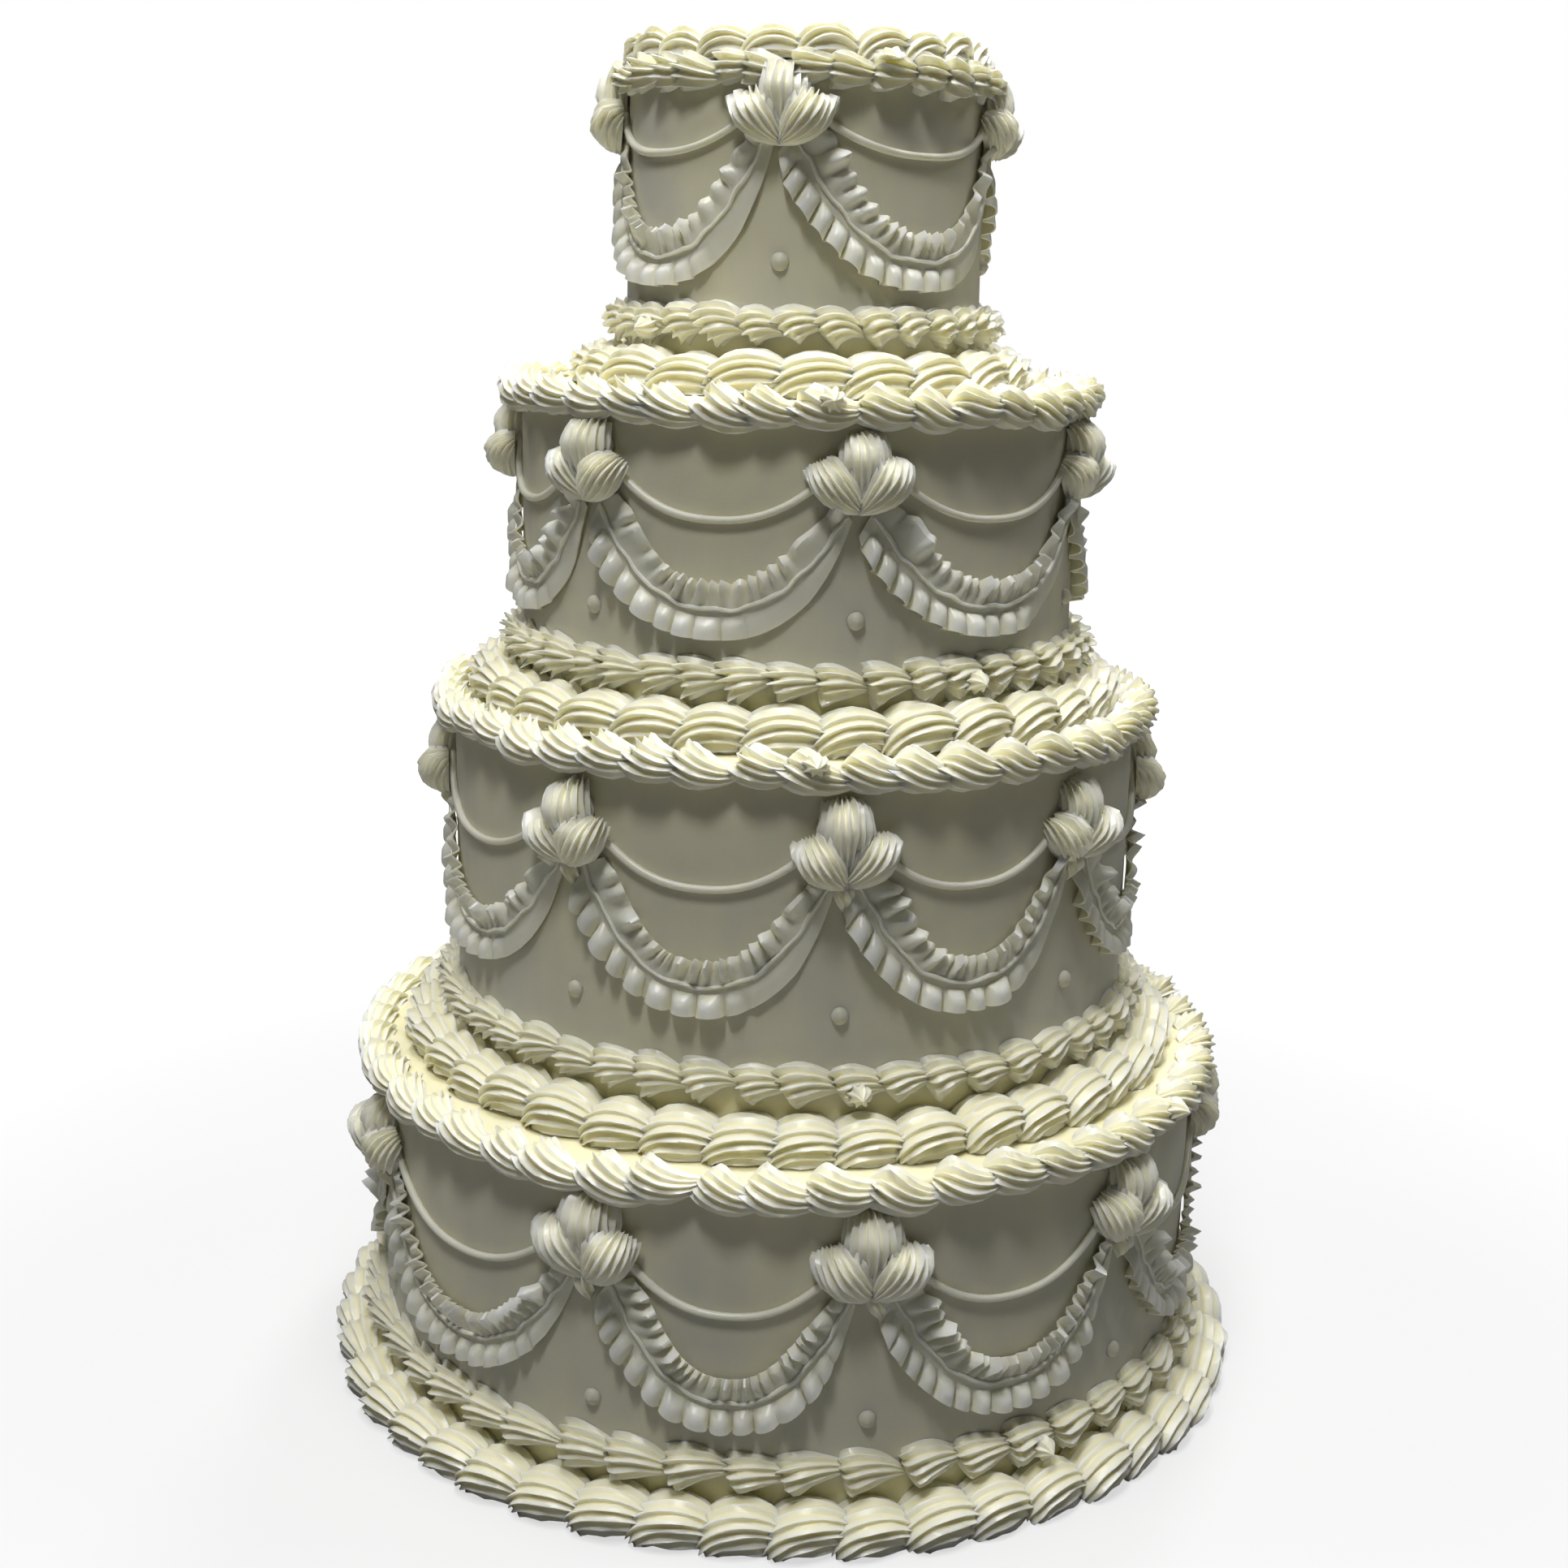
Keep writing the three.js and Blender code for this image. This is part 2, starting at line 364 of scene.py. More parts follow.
@dataclass(frozen=True)
class Buttercream:
    """Ivory buttercream, slightly translucent: pale where it stands out, painted bounce light in its folds.

    Grain and drag are the fineness of its bumps, which the heights go with.
    """

    name: str
    # pale is the icing's own colour; painted_light is the colour of painted warm bounce light, mixed in
    # where the crest attribute is low.
    pale: tuple[float, float, float]
    painted_light: tuple[float, float, float]
    roughness: float
    scatter: float = 0.5
    scatter_depth: float = 4.0 * MM
    scatter_reach: tuple[float, float, float] = (1.0, 0.9, 0.45)
    grain: float = 1100.0
    grain_height: float = 0.12 * MM
    drag: tuple[float, float, float] = (70.0, 70.0, 70.0)
    drag_height: float = 0.25 * MM
    mottle: float = 0.35

    def material(self) -> Material:
        """Builds the finish.

        Returns:
            The procedural material.
        """
        material, tree = new_material(
            self.name,
            Roughness=self.roughness,
            Subsurface_Weight=self.scatter,
            Subsurface_Radius=self.scatter_reach,
            Subsurface_Scale=self.scatter_depth,
            IOR=1.45,
        )
        shader = tree.nodes["Principled BSDF"]
        place = new_node(tree, "ShaderNodeTexCoord").outputs["Object"]
        tree.links.new(self._colour(tree, place), shader.inputs["Base Color"])
        tree.links.new(self._relief(tree, place), shader.inputs["Normal"])
        return material

    def _dragged(self, tree: NodeTree, place: NodeSocket, fineness: float, **values: float) -> NodeSocket:
        """Adds a noise drawn out along the strokes of the tools.

        Args:
            tree: the node tree.
            place: the point on the piece.
            fineness: how much finer it is than the strokes.
            **values: the noise's other inputs.

        Returns:
            The noise.
        """
        scale = tuple(fineness * v for v in self.drag)
        stretch = new_node(tree, "ShaderNodeMapping", Scale=scale, Vector=place)
        noise = new_node(
            tree, "ShaderNodeTexNoise", Scale=1.0, Detail=3.0, Vector=stretch.outputs["Vector"], **values
        )
        return noise.outputs["Fac"]

    def _colour(self, tree: NodeTree, place: NodeSocket) -> NodeSocket:
        """Blends the painted-light colour, where the crest attribute is low, to the pale one, with a soft
        mottle.
        """
        crest = new_node(tree, "ShaderNodeAttribute", attribute_name=CREST).outputs["Fac"]
        patches = self._dragged(tree, place, fineness=1, Roughness=0.55)
        soft = maths(tree, "MULTIPLY_ADD", patches, self.mottle, -0.5 * self.mottle)
        total = maths(tree, "ADD", crest, soft, use_clamp=True)
        blend = new_node(tree, "ShaderNodeMix", data_type="RGBA")
        for socket in blend.inputs:
            if socket.type == "RGBA":
                socket.default_value = (*(self.painted_light if socket.name == "A" else self.pale), 1)
        tree.links.new(total, blend.inputs["Factor"])
        return next(s for s in blend.outputs if s.type == "RGBA")

    def _relief(self, tree: NodeTree, place: NodeSocket) -> NodeSocket:
        """Adds the fine grain and the drag marks of the tools as bump."""
        grain = new_node(tree, "ShaderNodeTexNoise", Scale=self.grain, Detail=2.0, Vector=place)
        fine = new_node(
            tree, "ShaderNodeBump", Distance=self.grain_height, Strength=0.5, Height=grain.outputs["Fac"]
        )
        marks = self._dragged(tree, place, fineness=4)
        coarse = new_node(
            tree,
            "ShaderNodeBump",
            Distance=self.drag_height,
            Strength=0.6,
            Height=marks,
            Normal=fine.outputs["Normal"],
        )
        return coarse.outputs["Normal"]


# On the walls the painted light is brighter and yellower than the pale colour.
WALL_ICING = Buttercream(
    name="smooth_buttercream",
    pale=(0.615, 0.602, 0.5),
    painted_light=(0.95, 0.89, 0.57),
    roughness=0.5,
    drag=(22.0, 22.0, 7.0),
    drag_height=0.5 * MM,
    mottle=0.9,
)
PIPED_ICING = Buttercream(
    name="piped_buttercream",
    pale=(0.875, 0.864, 0.75),
    painted_light=(0.9, 0.855, 0.6),
    roughness=0.3,
)


def dress(piece: Object, material: Material, nodes: list[str]) -> None:
    """Gives a finished piece its icing and puts it in the place of its solids.

    Args:
        piece: the finished piece.
        material: its finish.
        nodes: the CAD nodes that it stands for.
    """
    piece.data.materials.clear()
    piece.data.materials.append(material)
    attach(piece, BODY)
    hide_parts(*nodes)
    log.info("%s: %d faces", piece.name, len(piece.data.polygons))


# ---------------------------------------------------------------- piped shells


class Head(Enum):
    """How a piped shell starts."""

    OPEN = "a mouth with ragged lips, where the tip was pushed on"
    ROUND = "a plump closed dome"


# Round one ridge, from its narrow crest to its wide hollow: places as shares of it, and heights.
STAR_RIB = ((-0.05, 1.0), (0.05, 1.0), (0.32, 0.12), (0.68, 0.12))
# Sections before the first and after the last station: shares of the length, and sizes.
MOUTH_SECTIONS = ((0.16, 0.25), (0.04, 0.8))
DOME_SECTION = (-0.035, 0.1)
TAIL_SECTION = (1.05, 0.4)
STATIONS = 12
HEAD_CROWDING = 1.3  # above 1, the stations are closer near the head
SPINE_STEPS = 64
SPINE_BEND = 0.8  # below 1, the bend comes early
MOUTH_EDGE = (-0.01, 0.02)  # where a mouth's lips lie, as shares of the length
DOME_EDGE = (0.1, 0.09)  # the middle and the width of a dome's lips
LIP_SPREAD = (0.2, 1.4)
LIP_ROOT = 0.25  # lips grow on what stands higher than this, and shrink below it
LIP_FLARE = 0.6
# A hand's lumps: their height, their number round the shell, their run along it, crests only.
LUMPS = ((0.04, 2, 4, False), (0.03, 5, -7, False), (0.025, 9, 15, True))
ROUGHNESS = 0.012
FULLER_FOOT = 0.35  # below 1, a grounded shell is fuller under its middle
GROUND_CUT = 0.6 * MM
GROUND_DEPTH = 1.0 * MM


@dataclass(frozen=True)
class PipedShell:
    """One shell from a star tip: ridges that swell from a head and meet in a tail, along +X.

    A sunk head starts at the wall and rises over it, so that its ridges end at its edge. Grounded
    shells are full down to what they stand on. What lies further behind the middle line than back
    is cut away. Fold light is how much painted warm bounce light its folds take.
    """

    half_height: float
    reach: float
    length: float = 30 * MM
    ridges: int = 12
    groove: float = 0.34
    head: Head = Head.OPEN
    head_share: float = 0.25
    mouth: float = 0.6
    start: float = 0.3
    roundness: float = 2.6
    tail_size: float = 0.12
    fullness: float = 1.5
    twist: float = 0.0
    head_tilt: float = 0.0
    tail_tilt: float = 0.0
    lips: float = 1.2 * MM
    stand: float = 0.15
    sink: float = 0.0
    lean: float = 1.0
    grounded: bool = False
    back: float | None = 1.0 * MM
    painted_fold_light: float = 1.0

    def spaced(self, radius: float, count: int, overlap: float) -> "PipedShell":
        """Gives the shell the length for its row: the distance to the next one times the overlap."""
        return replace(self, length=math.tau * radius / count * overlap)

    def size_at(self, share: float) -> float:
        """Gives the section's size at a place along the shell.

        Args:
            share: the place, as a share of the length.

        Returns:
            The size against the fullest section.
        """
        if share < self.head_share:
            bulge = 1 - share / self.head_share
            start = self.mouth if self.head is Head.OPEN else self.start
            return start + (1 - start) * math.sqrt(1 - bulge**self.roundness)
        fall = min(1.0, (share - self.head_share) / (1 - self.head_share))
        return self.tail_size + (1 - self.tail_size) * (1 - fall**self.fullness)

    def _sections(self) -> Iterator[tuple[float, float]]:
        """Yields the share of the length and the size of each section, head first."""
        if self.head is Head.OPEN:
            for share, size in MOUTH_SECTIONS:
                yield share, size * self.mouth
        else:
            yield DOME_SECTION
        for i in range(STATIONS):
            share = (i / (STATIONS - 1)) ** HEAD_CROWDING
            yield share, self.size_at(share)
        share, size = TAIL_SECTION
        yield share, size * self.tail_size

    def model(self, rng: Generator) -> Object:
        """Models the shell: a star is pushed out section by section, swelling and turning.

        Args:
            rng: the source of its hand-made unevenness.

        Returns:
            The shell, its head at the origin and its tail along +X, cut flat where it is buried.
        """
        sections = list(self._sections())
        shell = self._star(*sections[0])
        with editing(shell):
            for (last_share, last_size), (share, size) in pairwise(sections):
                centre = (share, 0, 0)
                push = {"value": (share - last_share, 0, 0)}
                bpy.ops.mesh.extrude_region_move(TRANSFORM_OT_translate=push)
                grow = size / last_size
                bpy.ops.transform.resize(value=(1, grow, grow), center_override=centre)
                turn = self.twist * (share - last_share)
                bpy.ops.transform.rotate(value=turn, orient_axis="X", center_override=centre)
            turn_faces_out()
        self._shape(shell, rng)
        if self.back is not None:
            self._cut(shell, (0, self.back, 0), (0, 1, 0))
        if self.grounded:
            self._cut(shell, (0, 0, -GROUND_CUT), (0, 0, -1))
        return shell

    def _star(self, share: float, size: float) -> Object:
        """Adds the first section: a circle whose vertices are pinched to ridges and hollows.

        Args:
            share: its place, as a share of the length.
            size: its size against the fullest section.

        Returns:
            The flat star.
        """
        star = add_shape(
            bpy.ops.mesh.primitive_circle_add,
            vertices=len(STAR_RIB) * self.ridges,
            radius=1,
            fill_type="NGON",
            location=(share, 0, 0),
            rotation=(0, math.pi / 2, 0),
        )
        ridge = np.repeat(np.arange(self.ridges), len(STAR_RIB))
        places, heights = (np.tile(column, self.ridges) for column in zip(*STAR_RIB))
        set_values(star, CREST, heights)
        set_values(star, RIDGE, ridge)
        angle = math.tau * (ridge + places) / self.ridges
        radius = size * (1 - self.groove * (1 - heights))
        points = points_of(star)
        points[:, 1] = radius * np.cos(angle)
        points[:, 2] = radius * np.sin(angle)
        move_points(star, points)
        return star

    def _spine(self, share: np.ndarray) -> tuple[np.ndarray, np.ndarray, np.ndarray]:
        """Bends the middle line of the shell from the head's tilt to the tail's.

        Args:
            share: where each point lies along the unit shell.

        Returns:
            The middle line's X and Z and its tilt there, its two ends level.
        """
        steps = np.linspace(0, 1, SPINE_STEPS + 1)
        tilts = self.head_tilt + (self.tail_tilt - self.head_tilt) * steps**SPINE_BEND
        middles = (tilts[1:] + tilts[:-1]) / 2
        x = np.concatenate([[0], np.cumsum(np.cos(middles))]) / SPINE_STEPS
        z = np.concatenate([[0], np.cumsum(np.sin(middles))]) / SPINE_STEPS
        scale = self.length / math.hypot(x[-1], z[-1])
        level = math.atan2(z[-1], x[-1])
        along = (x * math.cos(level) + z * math.sin(level)) * scale
        up = (z * math.cos(level) - x * math.sin(level)) * scale
        inside = np.clip(share, 0, 1)
        tilt = np.interp(inside, steps, tilts) - level
        beyond = (share - inside) * self.length
        return (
            np.interp(inside, steps, along) + beyond * np.cos(tilt),
            np.interp(inside, steps, up) + beyond * np.sin(tilt),
            tilt,
        )

    def _edge(self, share: np.ndarray) -> np.ndarray:
        """Gives how far each share of the length belongs to the lips, from 0 to 1."""
        if self.head is Head.OPEN:
            return ((share < MOUTH_EDGE[1]) & (share > MOUTH_EDGE[0])).astype(float)
        return np.exp(-(((share - DOME_EDGE[0]) / DOME_EDGE[1]) ** 2))

    @staticmethod
    def _unevenness(share: np.ndarray, angle: np.ndarray, crests: np.ndarray, rng: Generator) -> np.ndarray:
        """Works out the lumps that a hand leaves.

        Args:
            share: where each point lies along the shell.
            angle: where it lies round the shell, in radians.
            crests: its height, from a hollow to a crest.
            rng: the source of the lumps.

        Returns:
            A factor for the size of the section at each point.
        """
        lumps = np.zeros_like(share)
        for (height, number, run, on_crests), wave in zip(LUMPS, rng.uniform(0, math.tau, 4)):
            lump = height * np.sin(number * angle + wave + run * share)
            lumps += lump * crests if on_crests else lump
        return 1 + lumps + ROUGHNESS * rng.normal(size=len(share))

    @staticmethod
    def _fill_foot(points: np.ndarray) -> None:
        """Fills the outer lower quarter of a grounded shell out, in place."""
        radius = np.maximum(np.hypot(points[:, 1], points[:, 2]), 1e-6)
        full = radius * np.clip(-points[:, 1] / radius, 0, 1) ** FULLER_FOOT
        below = (points[:, 2] < 0) & (points[:, 1] < 0)
        points[:, 1] = np.where(below, -full, points[:, 1])

    def _shape(self, shell: Object, rng: Generator) -> None:
        """Gives the unit shell its sizes, its lips, its bend and its unevenness.

        Args:
            shell: the unit shell.
            rng: the source of its unevenness.
        """
        points = points_of(shell)
        crests, ridge = (values_of(shell, name) for name in (CREST, RIDGE))
        shell.data.attributes.remove(shell.data.attributes[RIDGE])
        share = points[:, 0].copy()
        angle = np.arctan2(points[:, 2], points[:, 1])
        each = rng.uniform(*LIP_SPREAD, self.ridges)[ridge.astype(int)]
        tip = self.lips * each * (crests - LIP_ROOT) * self._edge(share)
        points[:, 0] -= tip / self.length
        points[:, 1:] *= (1 + LIP_FLARE * tip / self.half_height)[:, None]
        points[:, 1:] *= self._unevenness(share, angle, crests, rng)[:, None]
        if self.grounded:
            self._fill_foot(points)
        size = np.array([self.size_at(v) for v in np.clip(share, 0, 1)])
        out = self.stand * self.reach * size - points[:, 1] * self.reach * (1 - self.stand)
        out -= np.where(share < self.head_share, self.sink * self.reach * (1 - size), 0)
        up = points[:, 2] * self.half_height
        x, z, tilt = self._spine(points[:, 0])
        if self.grounded:
            room = np.maximum(z, 0) + GROUND_DEPTH
            up = np.where(up < 0, up * np.maximum(1, room / (self.half_height * size)), up)
        tilt = tilt * self.lean
        move_points(shell, np.stack([x - up * np.sin(tilt), -out, z + up * np.cos(tilt)], 1))
        # Painted warm bounce light in the folds: the hollows take less of the pale colour.
        set_values(shell, CREST, 1 - self.painted_fold_light * (1 - crests))

    @staticmethod
    def _cut(shell: Object, place: tuple[float, ...], outwards: tuple[float, ...]) -> None:
        """Cuts away what is buried, in the wall or in what the shell stands on, and closes the cut.

        Args:
            shell: the shell.
            place: a point of the cutting plane.
            outwards: the plane's normal, towards what goes.
        """
        with editing(shell):
            bpy.ops.mesh.bisect(plane_co=place, plane_no=outwards, clear_outer=True, use_fill=True)


# The star knot where a row closes.
KNOT = PipedShell(
    length=9 * MM,
    half_height=5.2 * MM,
    reach=5.2 * MM,
    ridges=8,
    groove=0.3,
    head=Head.ROUND,
    head_share=0.35,
    tail_size=0.1,
    lips=0.8 * MM,
    twist=0.6,
    stand=0,
    back=None,
)
KNOT_REACH = 7 * MM
# The tall arched shells on the top tier's edge.
CROWN_ARCH = PipedShell(
    half_height=7.2 * MM,
    reach=9.5 * MM,
    groove=0.26,
    mouth=0.66,
    tail_size=0.25,
    head_tilt=math.radians(72),
    tail_tilt=math.radians(-56),
    stand=0,
    lean=0.5,
    grounded=True,
    back=None,
)
# The low frilly shells under the crown.
FRILL = PipedShell(
    half_height=8.2 * MM,
    reach=9.6 * MM,
    ridges=11,
    groove=0.36,
    head=Head.ROUND,
    head_share=0.2,
    sink=1.2,
    lips=1.9 * MM,
    twist=-0.5,
)
# The slanting shells of the rope on a lower tier's edge.
ROPE = PipedShell(
    half_height=9.2 * MM,
    reach=9.0 * MM,
    ridges=14,
    groove=0.22,
    head=Head.ROUND,
    head_share=0.26,
    sink=1.3,
    fullness=1.4,
    twist=-0.4,
    head_tilt=math.radians(-42),
    tail_tilt=math.radians(22),
    lips=3.0 * MM,
    stand=0,
    back=6.0 * MM,
)
# The open fans on a wall near its foot.
FAN = PipedShell(
    half_height=9.0 * MM,
    reach=11.5 * MM,
    ridges=13,
    groove=0.25,
    head=Head.ROUND,
    head_share=0.2,
    start=0.62,
    sink=0.9,
    fullness=1.3,
)
# The plump shells in the corner at a tier's foot.
BASE_ARCH = PipedShell(
    half_height=9.0 * MM,
    reach=15.0 * MM,
    ridges=14,
    groove=0.2,
    head_share=0.4,
    mouth=0.62,
    tail_size=0.16,
    head_tilt=math.radians(76),
    tail_tilt=math.radians(-50),
    stand=0,
    lean=0.45,
    grounded=True,
    lips=2.0 * MM,
    back=11.5 * MM,
)
# The top shell of a fleur, and those at its sides.
FLEUR_TOP = PipedShell(
    half_height=11.6 * MM,
    reach=13.0 * MM,
    ridges=20,
    groove=0.22,
    head=Head.ROUND,
    head_share=0.36,
    roundness=2.0,
    sink=1.1,
    tail_size=0.16,
    fullness=1.3,
    # less painted bounce light in a fleur's folds
    painted_fold_light=0.5,
)
FLEUR_SIDE = replace(FLEUR_TOP, tail_size=0.2, fullness=2.0)
# The small twisted drop below a fleur.
DROP = PipedShell(
    half_height=4.6 * MM,
    reach=8.0 * MM,
    ridges=7,
    groove=0.42,
    head=Head.ROUND,
    head_share=0.45,
    twist=1.6,
    lips=2.0 * MM,
    stand=0.3,
)
SLOPE_SPREAD = 1.3  # how uneven a row's slopes are against its sizes, in radians


@dataclass(frozen=True)
class ShellRow:
    """A row of shells round a tier, each head over the tail before it.

    It starts at an azimuth in degrees. Where it closes, a star knot stands out from it, if it is
    knotted. Grounded shells are kept above the row's height.
    """

    kind: str
    shell: PipedShell
    count: int
    height: float
    start: float
    uneven: float
    seed: int
    outset: float = 0.0
    slope: float = 0.0
    roll: float = 0.0
    patterns: int = 6
    knotted: bool = True

    def build(self, tier: TierFrame, material: Material) -> None:
        """Models a few shells, copies them round the tier and joins them.

        Args:
            tier: the tier that the row runs round.
            material: the icing.
        """
        rng = np.random.default_rng(self.seed)
        name = f"{self.kind}_row_{tier.number}"
        patterns = [self.shell.model(rng) for _ in range(self.patterns)]
        copies = []
        for i in range(self.count):
            copy = own_copy(patterns[rng.integers(self.patterns)], f"{name}_{i}")
            points = points_of(copy)
            points *= 1 + self.uneven * rng.uniform(-1, 1, 3)
            points = turned(points, self.roll, "X")
            points = turned(points, self.slope + SLOPE_SPREAD * self.uneven * rng.uniform(-1, 1), "Y")
            points[:, 0] += rng.uniform(-1, 1) * self.uneven * self.shell.length
            points[:, 1] -= self.outset
            move_points(copy, points)
            azimuth = math.radians(self.start) + math.tau * i / self.count
            tier.lay_round(copy, azimuth, self.height)
            copies.append(copy)
        discard(patterns)
        if self.knotted:
            copies.append(self._knot(tier, rng))
        row = join_all(copies, name)
        if self.shell.grounded:
            points = points_of(row)
            points[:, 2] = np.maximum(points[:, 2], self.height)
            move_points(row, points)
        bpy.ops.object.shade_smooth_by_angle(angle=PIPED_SOFT_ANGLE)
        dress(row, material, [f"{self.kind}_border_{tier.number}"])

    def _knot(self, tier: TierFrame, rng: Generator) -> Object:
        """Models the star knot where the row closes and lays it on the wall.

        Args:
            tier: the tier that the row runs round.
            rng: the source of its unevenness.

        Returns:
            The knot.
        """
        knot = KNOT.model(rng)
        points = turned(points_of(knot), -math.pi / 2, "Z")
        points[:, 1] -= KNOT_REACH
        move_points(knot, points)
        tier.lay_round(knot, math.radians(self.start) - math.pi / self.count, self.height)
        return knot


# ---------------------------------------------------------------- fleurs


@dataclass(frozen=True)
class Fleur:
    """Three shells whose heads fan out and whose tails meet, over the ends of two swags.

    The side shells curl upwards. On some tiers a small twisted drop is piped below the tails.
    Spreads are how uneven the shells are: factors for sizes, radians for turns.
    """

    node: str
    azimuth: float
    height: float
    fall: float
    side_angle: float
    top: PipedShell
    side: PipedShell
    drop_length: float
    seed: int
    curl: float = 0.26
    sway: tuple[float, float] = (-0.1, 0.3)
    top_outset_mm: tuple[float, float] = (0.2, 2.6)
    side_outsets: tuple[float, float] = (2.8 * MM, 4.6 * MM)
    size_spread: float = 0.06
    lean_spread: float = 0.08
    drop_bend: float = 0.6
    drop_spread: float = 0.25
    drop_overlap: float = 3.0 * MM

    def build(self, tier: TierFrame, material: Material) -> None:
        """Models the three shells and the drop, and lays them on the wall.

        Args:
            tier: the tier that the fleur is piped on.
            material: the icing.
        """
        rng = np.random.default_rng(self.seed)
        left = replace(self.side, head_tilt=-self.curl, tail_tilt=self.curl)
        right = replace(self.side, head_tilt=self.curl, tail_tilt=-self.curl)
        sway = rng.uniform(*self.sway)
        top = replace(self.top, head_tilt=sway, tail_tilt=-sway)
        outsets = rng.permutation(self.side_outsets)
        shells = [
            self._petal(top, 0.0, rng.uniform(*self.top_outset_mm) * MM, rng),
            self._petal(left, -self.side_angle, outsets[0], rng),
            self._petal(right, self.side_angle, outsets[1], rng),
        ]
        if self.drop_length > 0:
            shells.append(self._drop(rng))
        fleur = join_all(shells, f"piped_{self.node}")
        bpy.ops.object.shade_smooth_by_angle(angle=PIPED_SOFT_ANGLE)
        tier.lay_round(fleur, self.azimuth, self.height)
        dress(fleur, material, [self.node])

    def _petal(self, shell: PipedShell, lean: float, outset: float, rng: Generator) -> Object:
        """Models one shell with its tail where the three meet.

        Args:
            shell: its shape.
            lean: how far its head leans to the right.
            outset: how far it lies in front of the wall.
            rng: the source of its unevenness.

        Returns:
            The shell.
        """
        piece = shell.model(rng)
        points = points_of(piece)
        points[:, 0] -= shell.length
        points *= 1 + self.size_spread * rng.uniform(-1, 1, 3)
        angle = math.pi / 2 + lean + rng.uniform(-self.lean_spread, self.lean_spread)
        points = turned(points, angle, "Y")
        points[:, 1] -= outset
        points[:, 2] -= self.fall
        move_points(piece, points)
        return piece

    def _drop(self, rng: Generator) -> Object:
        """Models the small twisted drop below the tails.

        Args:
            rng: the source of its unevenness.

        Returns:
            The drop.
        """
        bend = rng.uniform(-self.drop_bend, self.drop_bend)
        piece = replace(DROP, length=self.drop_length, tail_tilt=bend).model(rng)
        lean = rng.uniform(-self.drop_spread, self.drop_spread)
        points = turned(points_of(piece), math.pi / 2 + lean, "Y")
        points[:, 2] += self.drop_overlap - self.fall
        move_points(piece, points)
        return piece


# ---------------------------------------------------------------- strings and garlands


TUBE_CREST = 0.85


def piped_tube(name: str, routes: list[np.ndarray], radii: list[np.ndarray]) -> Object:
    """Pipes round lines of icing, all in one mesh.

    Args:
        name: the piece's name.
        routes: for each line, one row of X, Y, Z a point.
        radii: for each line, its radius at each point.

    Returns:
        The lines as a mesh.
    """
    curve = bpy.data.curves.new(name, "CURVE")
    curve.dimensions = "3D"
    curve.bevel_depth = 1.0
    curve.bevel_resolution = 1
    curve.use_fill_caps = True
    for route, radius in zip(routes, radii):
        line = curve.splines.new("POLY")
        line.points.add(len(route) - 1)
        line.points.foreach_set("co", np.column_stack([route, np.ones(len(route))]).ravel())
        line.points.foreach_set("radius", radius)
    activate(add_object(name, curve))
    bpy.ops.object.convert(target="MESH")
    bpy.ops.object.shade_smooth()
    tube = bpy.context.active_object
    set_values(tube, CREST, TUBE_CREST)
    return tube


@dataclass(frozen=True)
class Swag:
    """The middle line of what hangs between two fleurs, evenly stepped along its length."""

    tier: TierFrame
    start: float
    span: float
    end_drop: float
    low_drop: float
    inset: float = 0.0
    fullness: float = 2.35
    steps: int = 200

    @property
    def width(self) -> float:
        """Gives its width along the wall."""
        return self.span * float(self.tier.wall_radius(self.tier.top_z))

    def _stations(self) -> tuple[np.ndarray, np.ndarray, np.ndarray]:
        """Gives X, Z and the length so far at even steps of X."""
        t = np.linspace(0, 1, self.steps)
        x = self.inset + t * (self.width - 2 * self.inset)
        z = -self.end_drop - (self.low_drop - self.end_drop) * (1 - np.abs(2 * t - 1) ** self.fullness)
        steps = np.hypot(np.diff(x), np.diff(z))
        return x, z, np.concatenate([[0], np.cumsum(steps)])

    @property
    def length(self) -> float:
        """Gives its length along the curve."""
        return float(self._stations()[2][-1])

    def place(self, share: np.ndarray) -> tuple[np.ndarray, np.ndarray, np.ndarray]:
        """Finds points of the line.

        Args:
            share: their shares of its length.

        Returns:
            Their X and Z, and the line's tilt there.
        """
        x, z, length = self._stations()
        at = share * length[-1]
        tilt = np.arctan2(np.gradient(z), np.gradient(x))
        return np.interp(at, length, x), np.interp(at, length, z), np.interp(at, length, tilt)

    def on_wall(self, x: np.ndarray, out: np.ndarray, z: np.ndarray) -> np.ndarray:
        """Lays points of the flat swag on the tier's wall.

        Args:
            x: how far each lies along the wall from the swag's start.
            out: how far it stands out.
            z: its height over the tier's top edge.

        Returns:
            One row of X, Y, Z a point.
        """
        angle = self.start + x / float(self.tier.wall_radius(self.tier.top_z))
        height = self.tier.top_z + z
        radius = self.tier.wall_radius(height) + out
        return np.stack([radius * np.sin(angle), -radius * np.cos(angle), height], 1)


@dataclass(frozen=True)
class StringLines:
    """The smooth lines that hang from fleur to fleur. They swell a little here and there."""

    node: str
    end_drop: float
    low_drop: float
    radius: float = 1.7 * MM
    points_each: int = 32
    outset: float = 0.8  # of the radius
    swell: float = 0.07  # of the radius
    swell_turns: float = 9

    def build(self, tier: TierFrame, material: Material) -> None:
        """Pipes one line for each swag.

        Args:
            tier: the tier that they hang on.
            material: the icing.
        """
        share = np.linspace(0, 1, self.points_each)
        routes, radii = [], []
        for start, span in tier.swags():
            swag = Swag(tier, start, span, self.end_drop, self.low_drop)
            x, z, _ = swag.place(share)
            routes.append(swag.on_wall(x, self.outset * self.radius, z))
            radii.append(self.radius * (1 + self.swell * np.sin(self.swell_turns * share + start)))
        lines = piped_tube(f"piped_{self.node}", routes, radii)
        dress(lines, material, [self.node])


def phase(rng: Generator) -> float:
    """Draws where a wave starts, in radians."""
    return rng.uniform(0, 6)


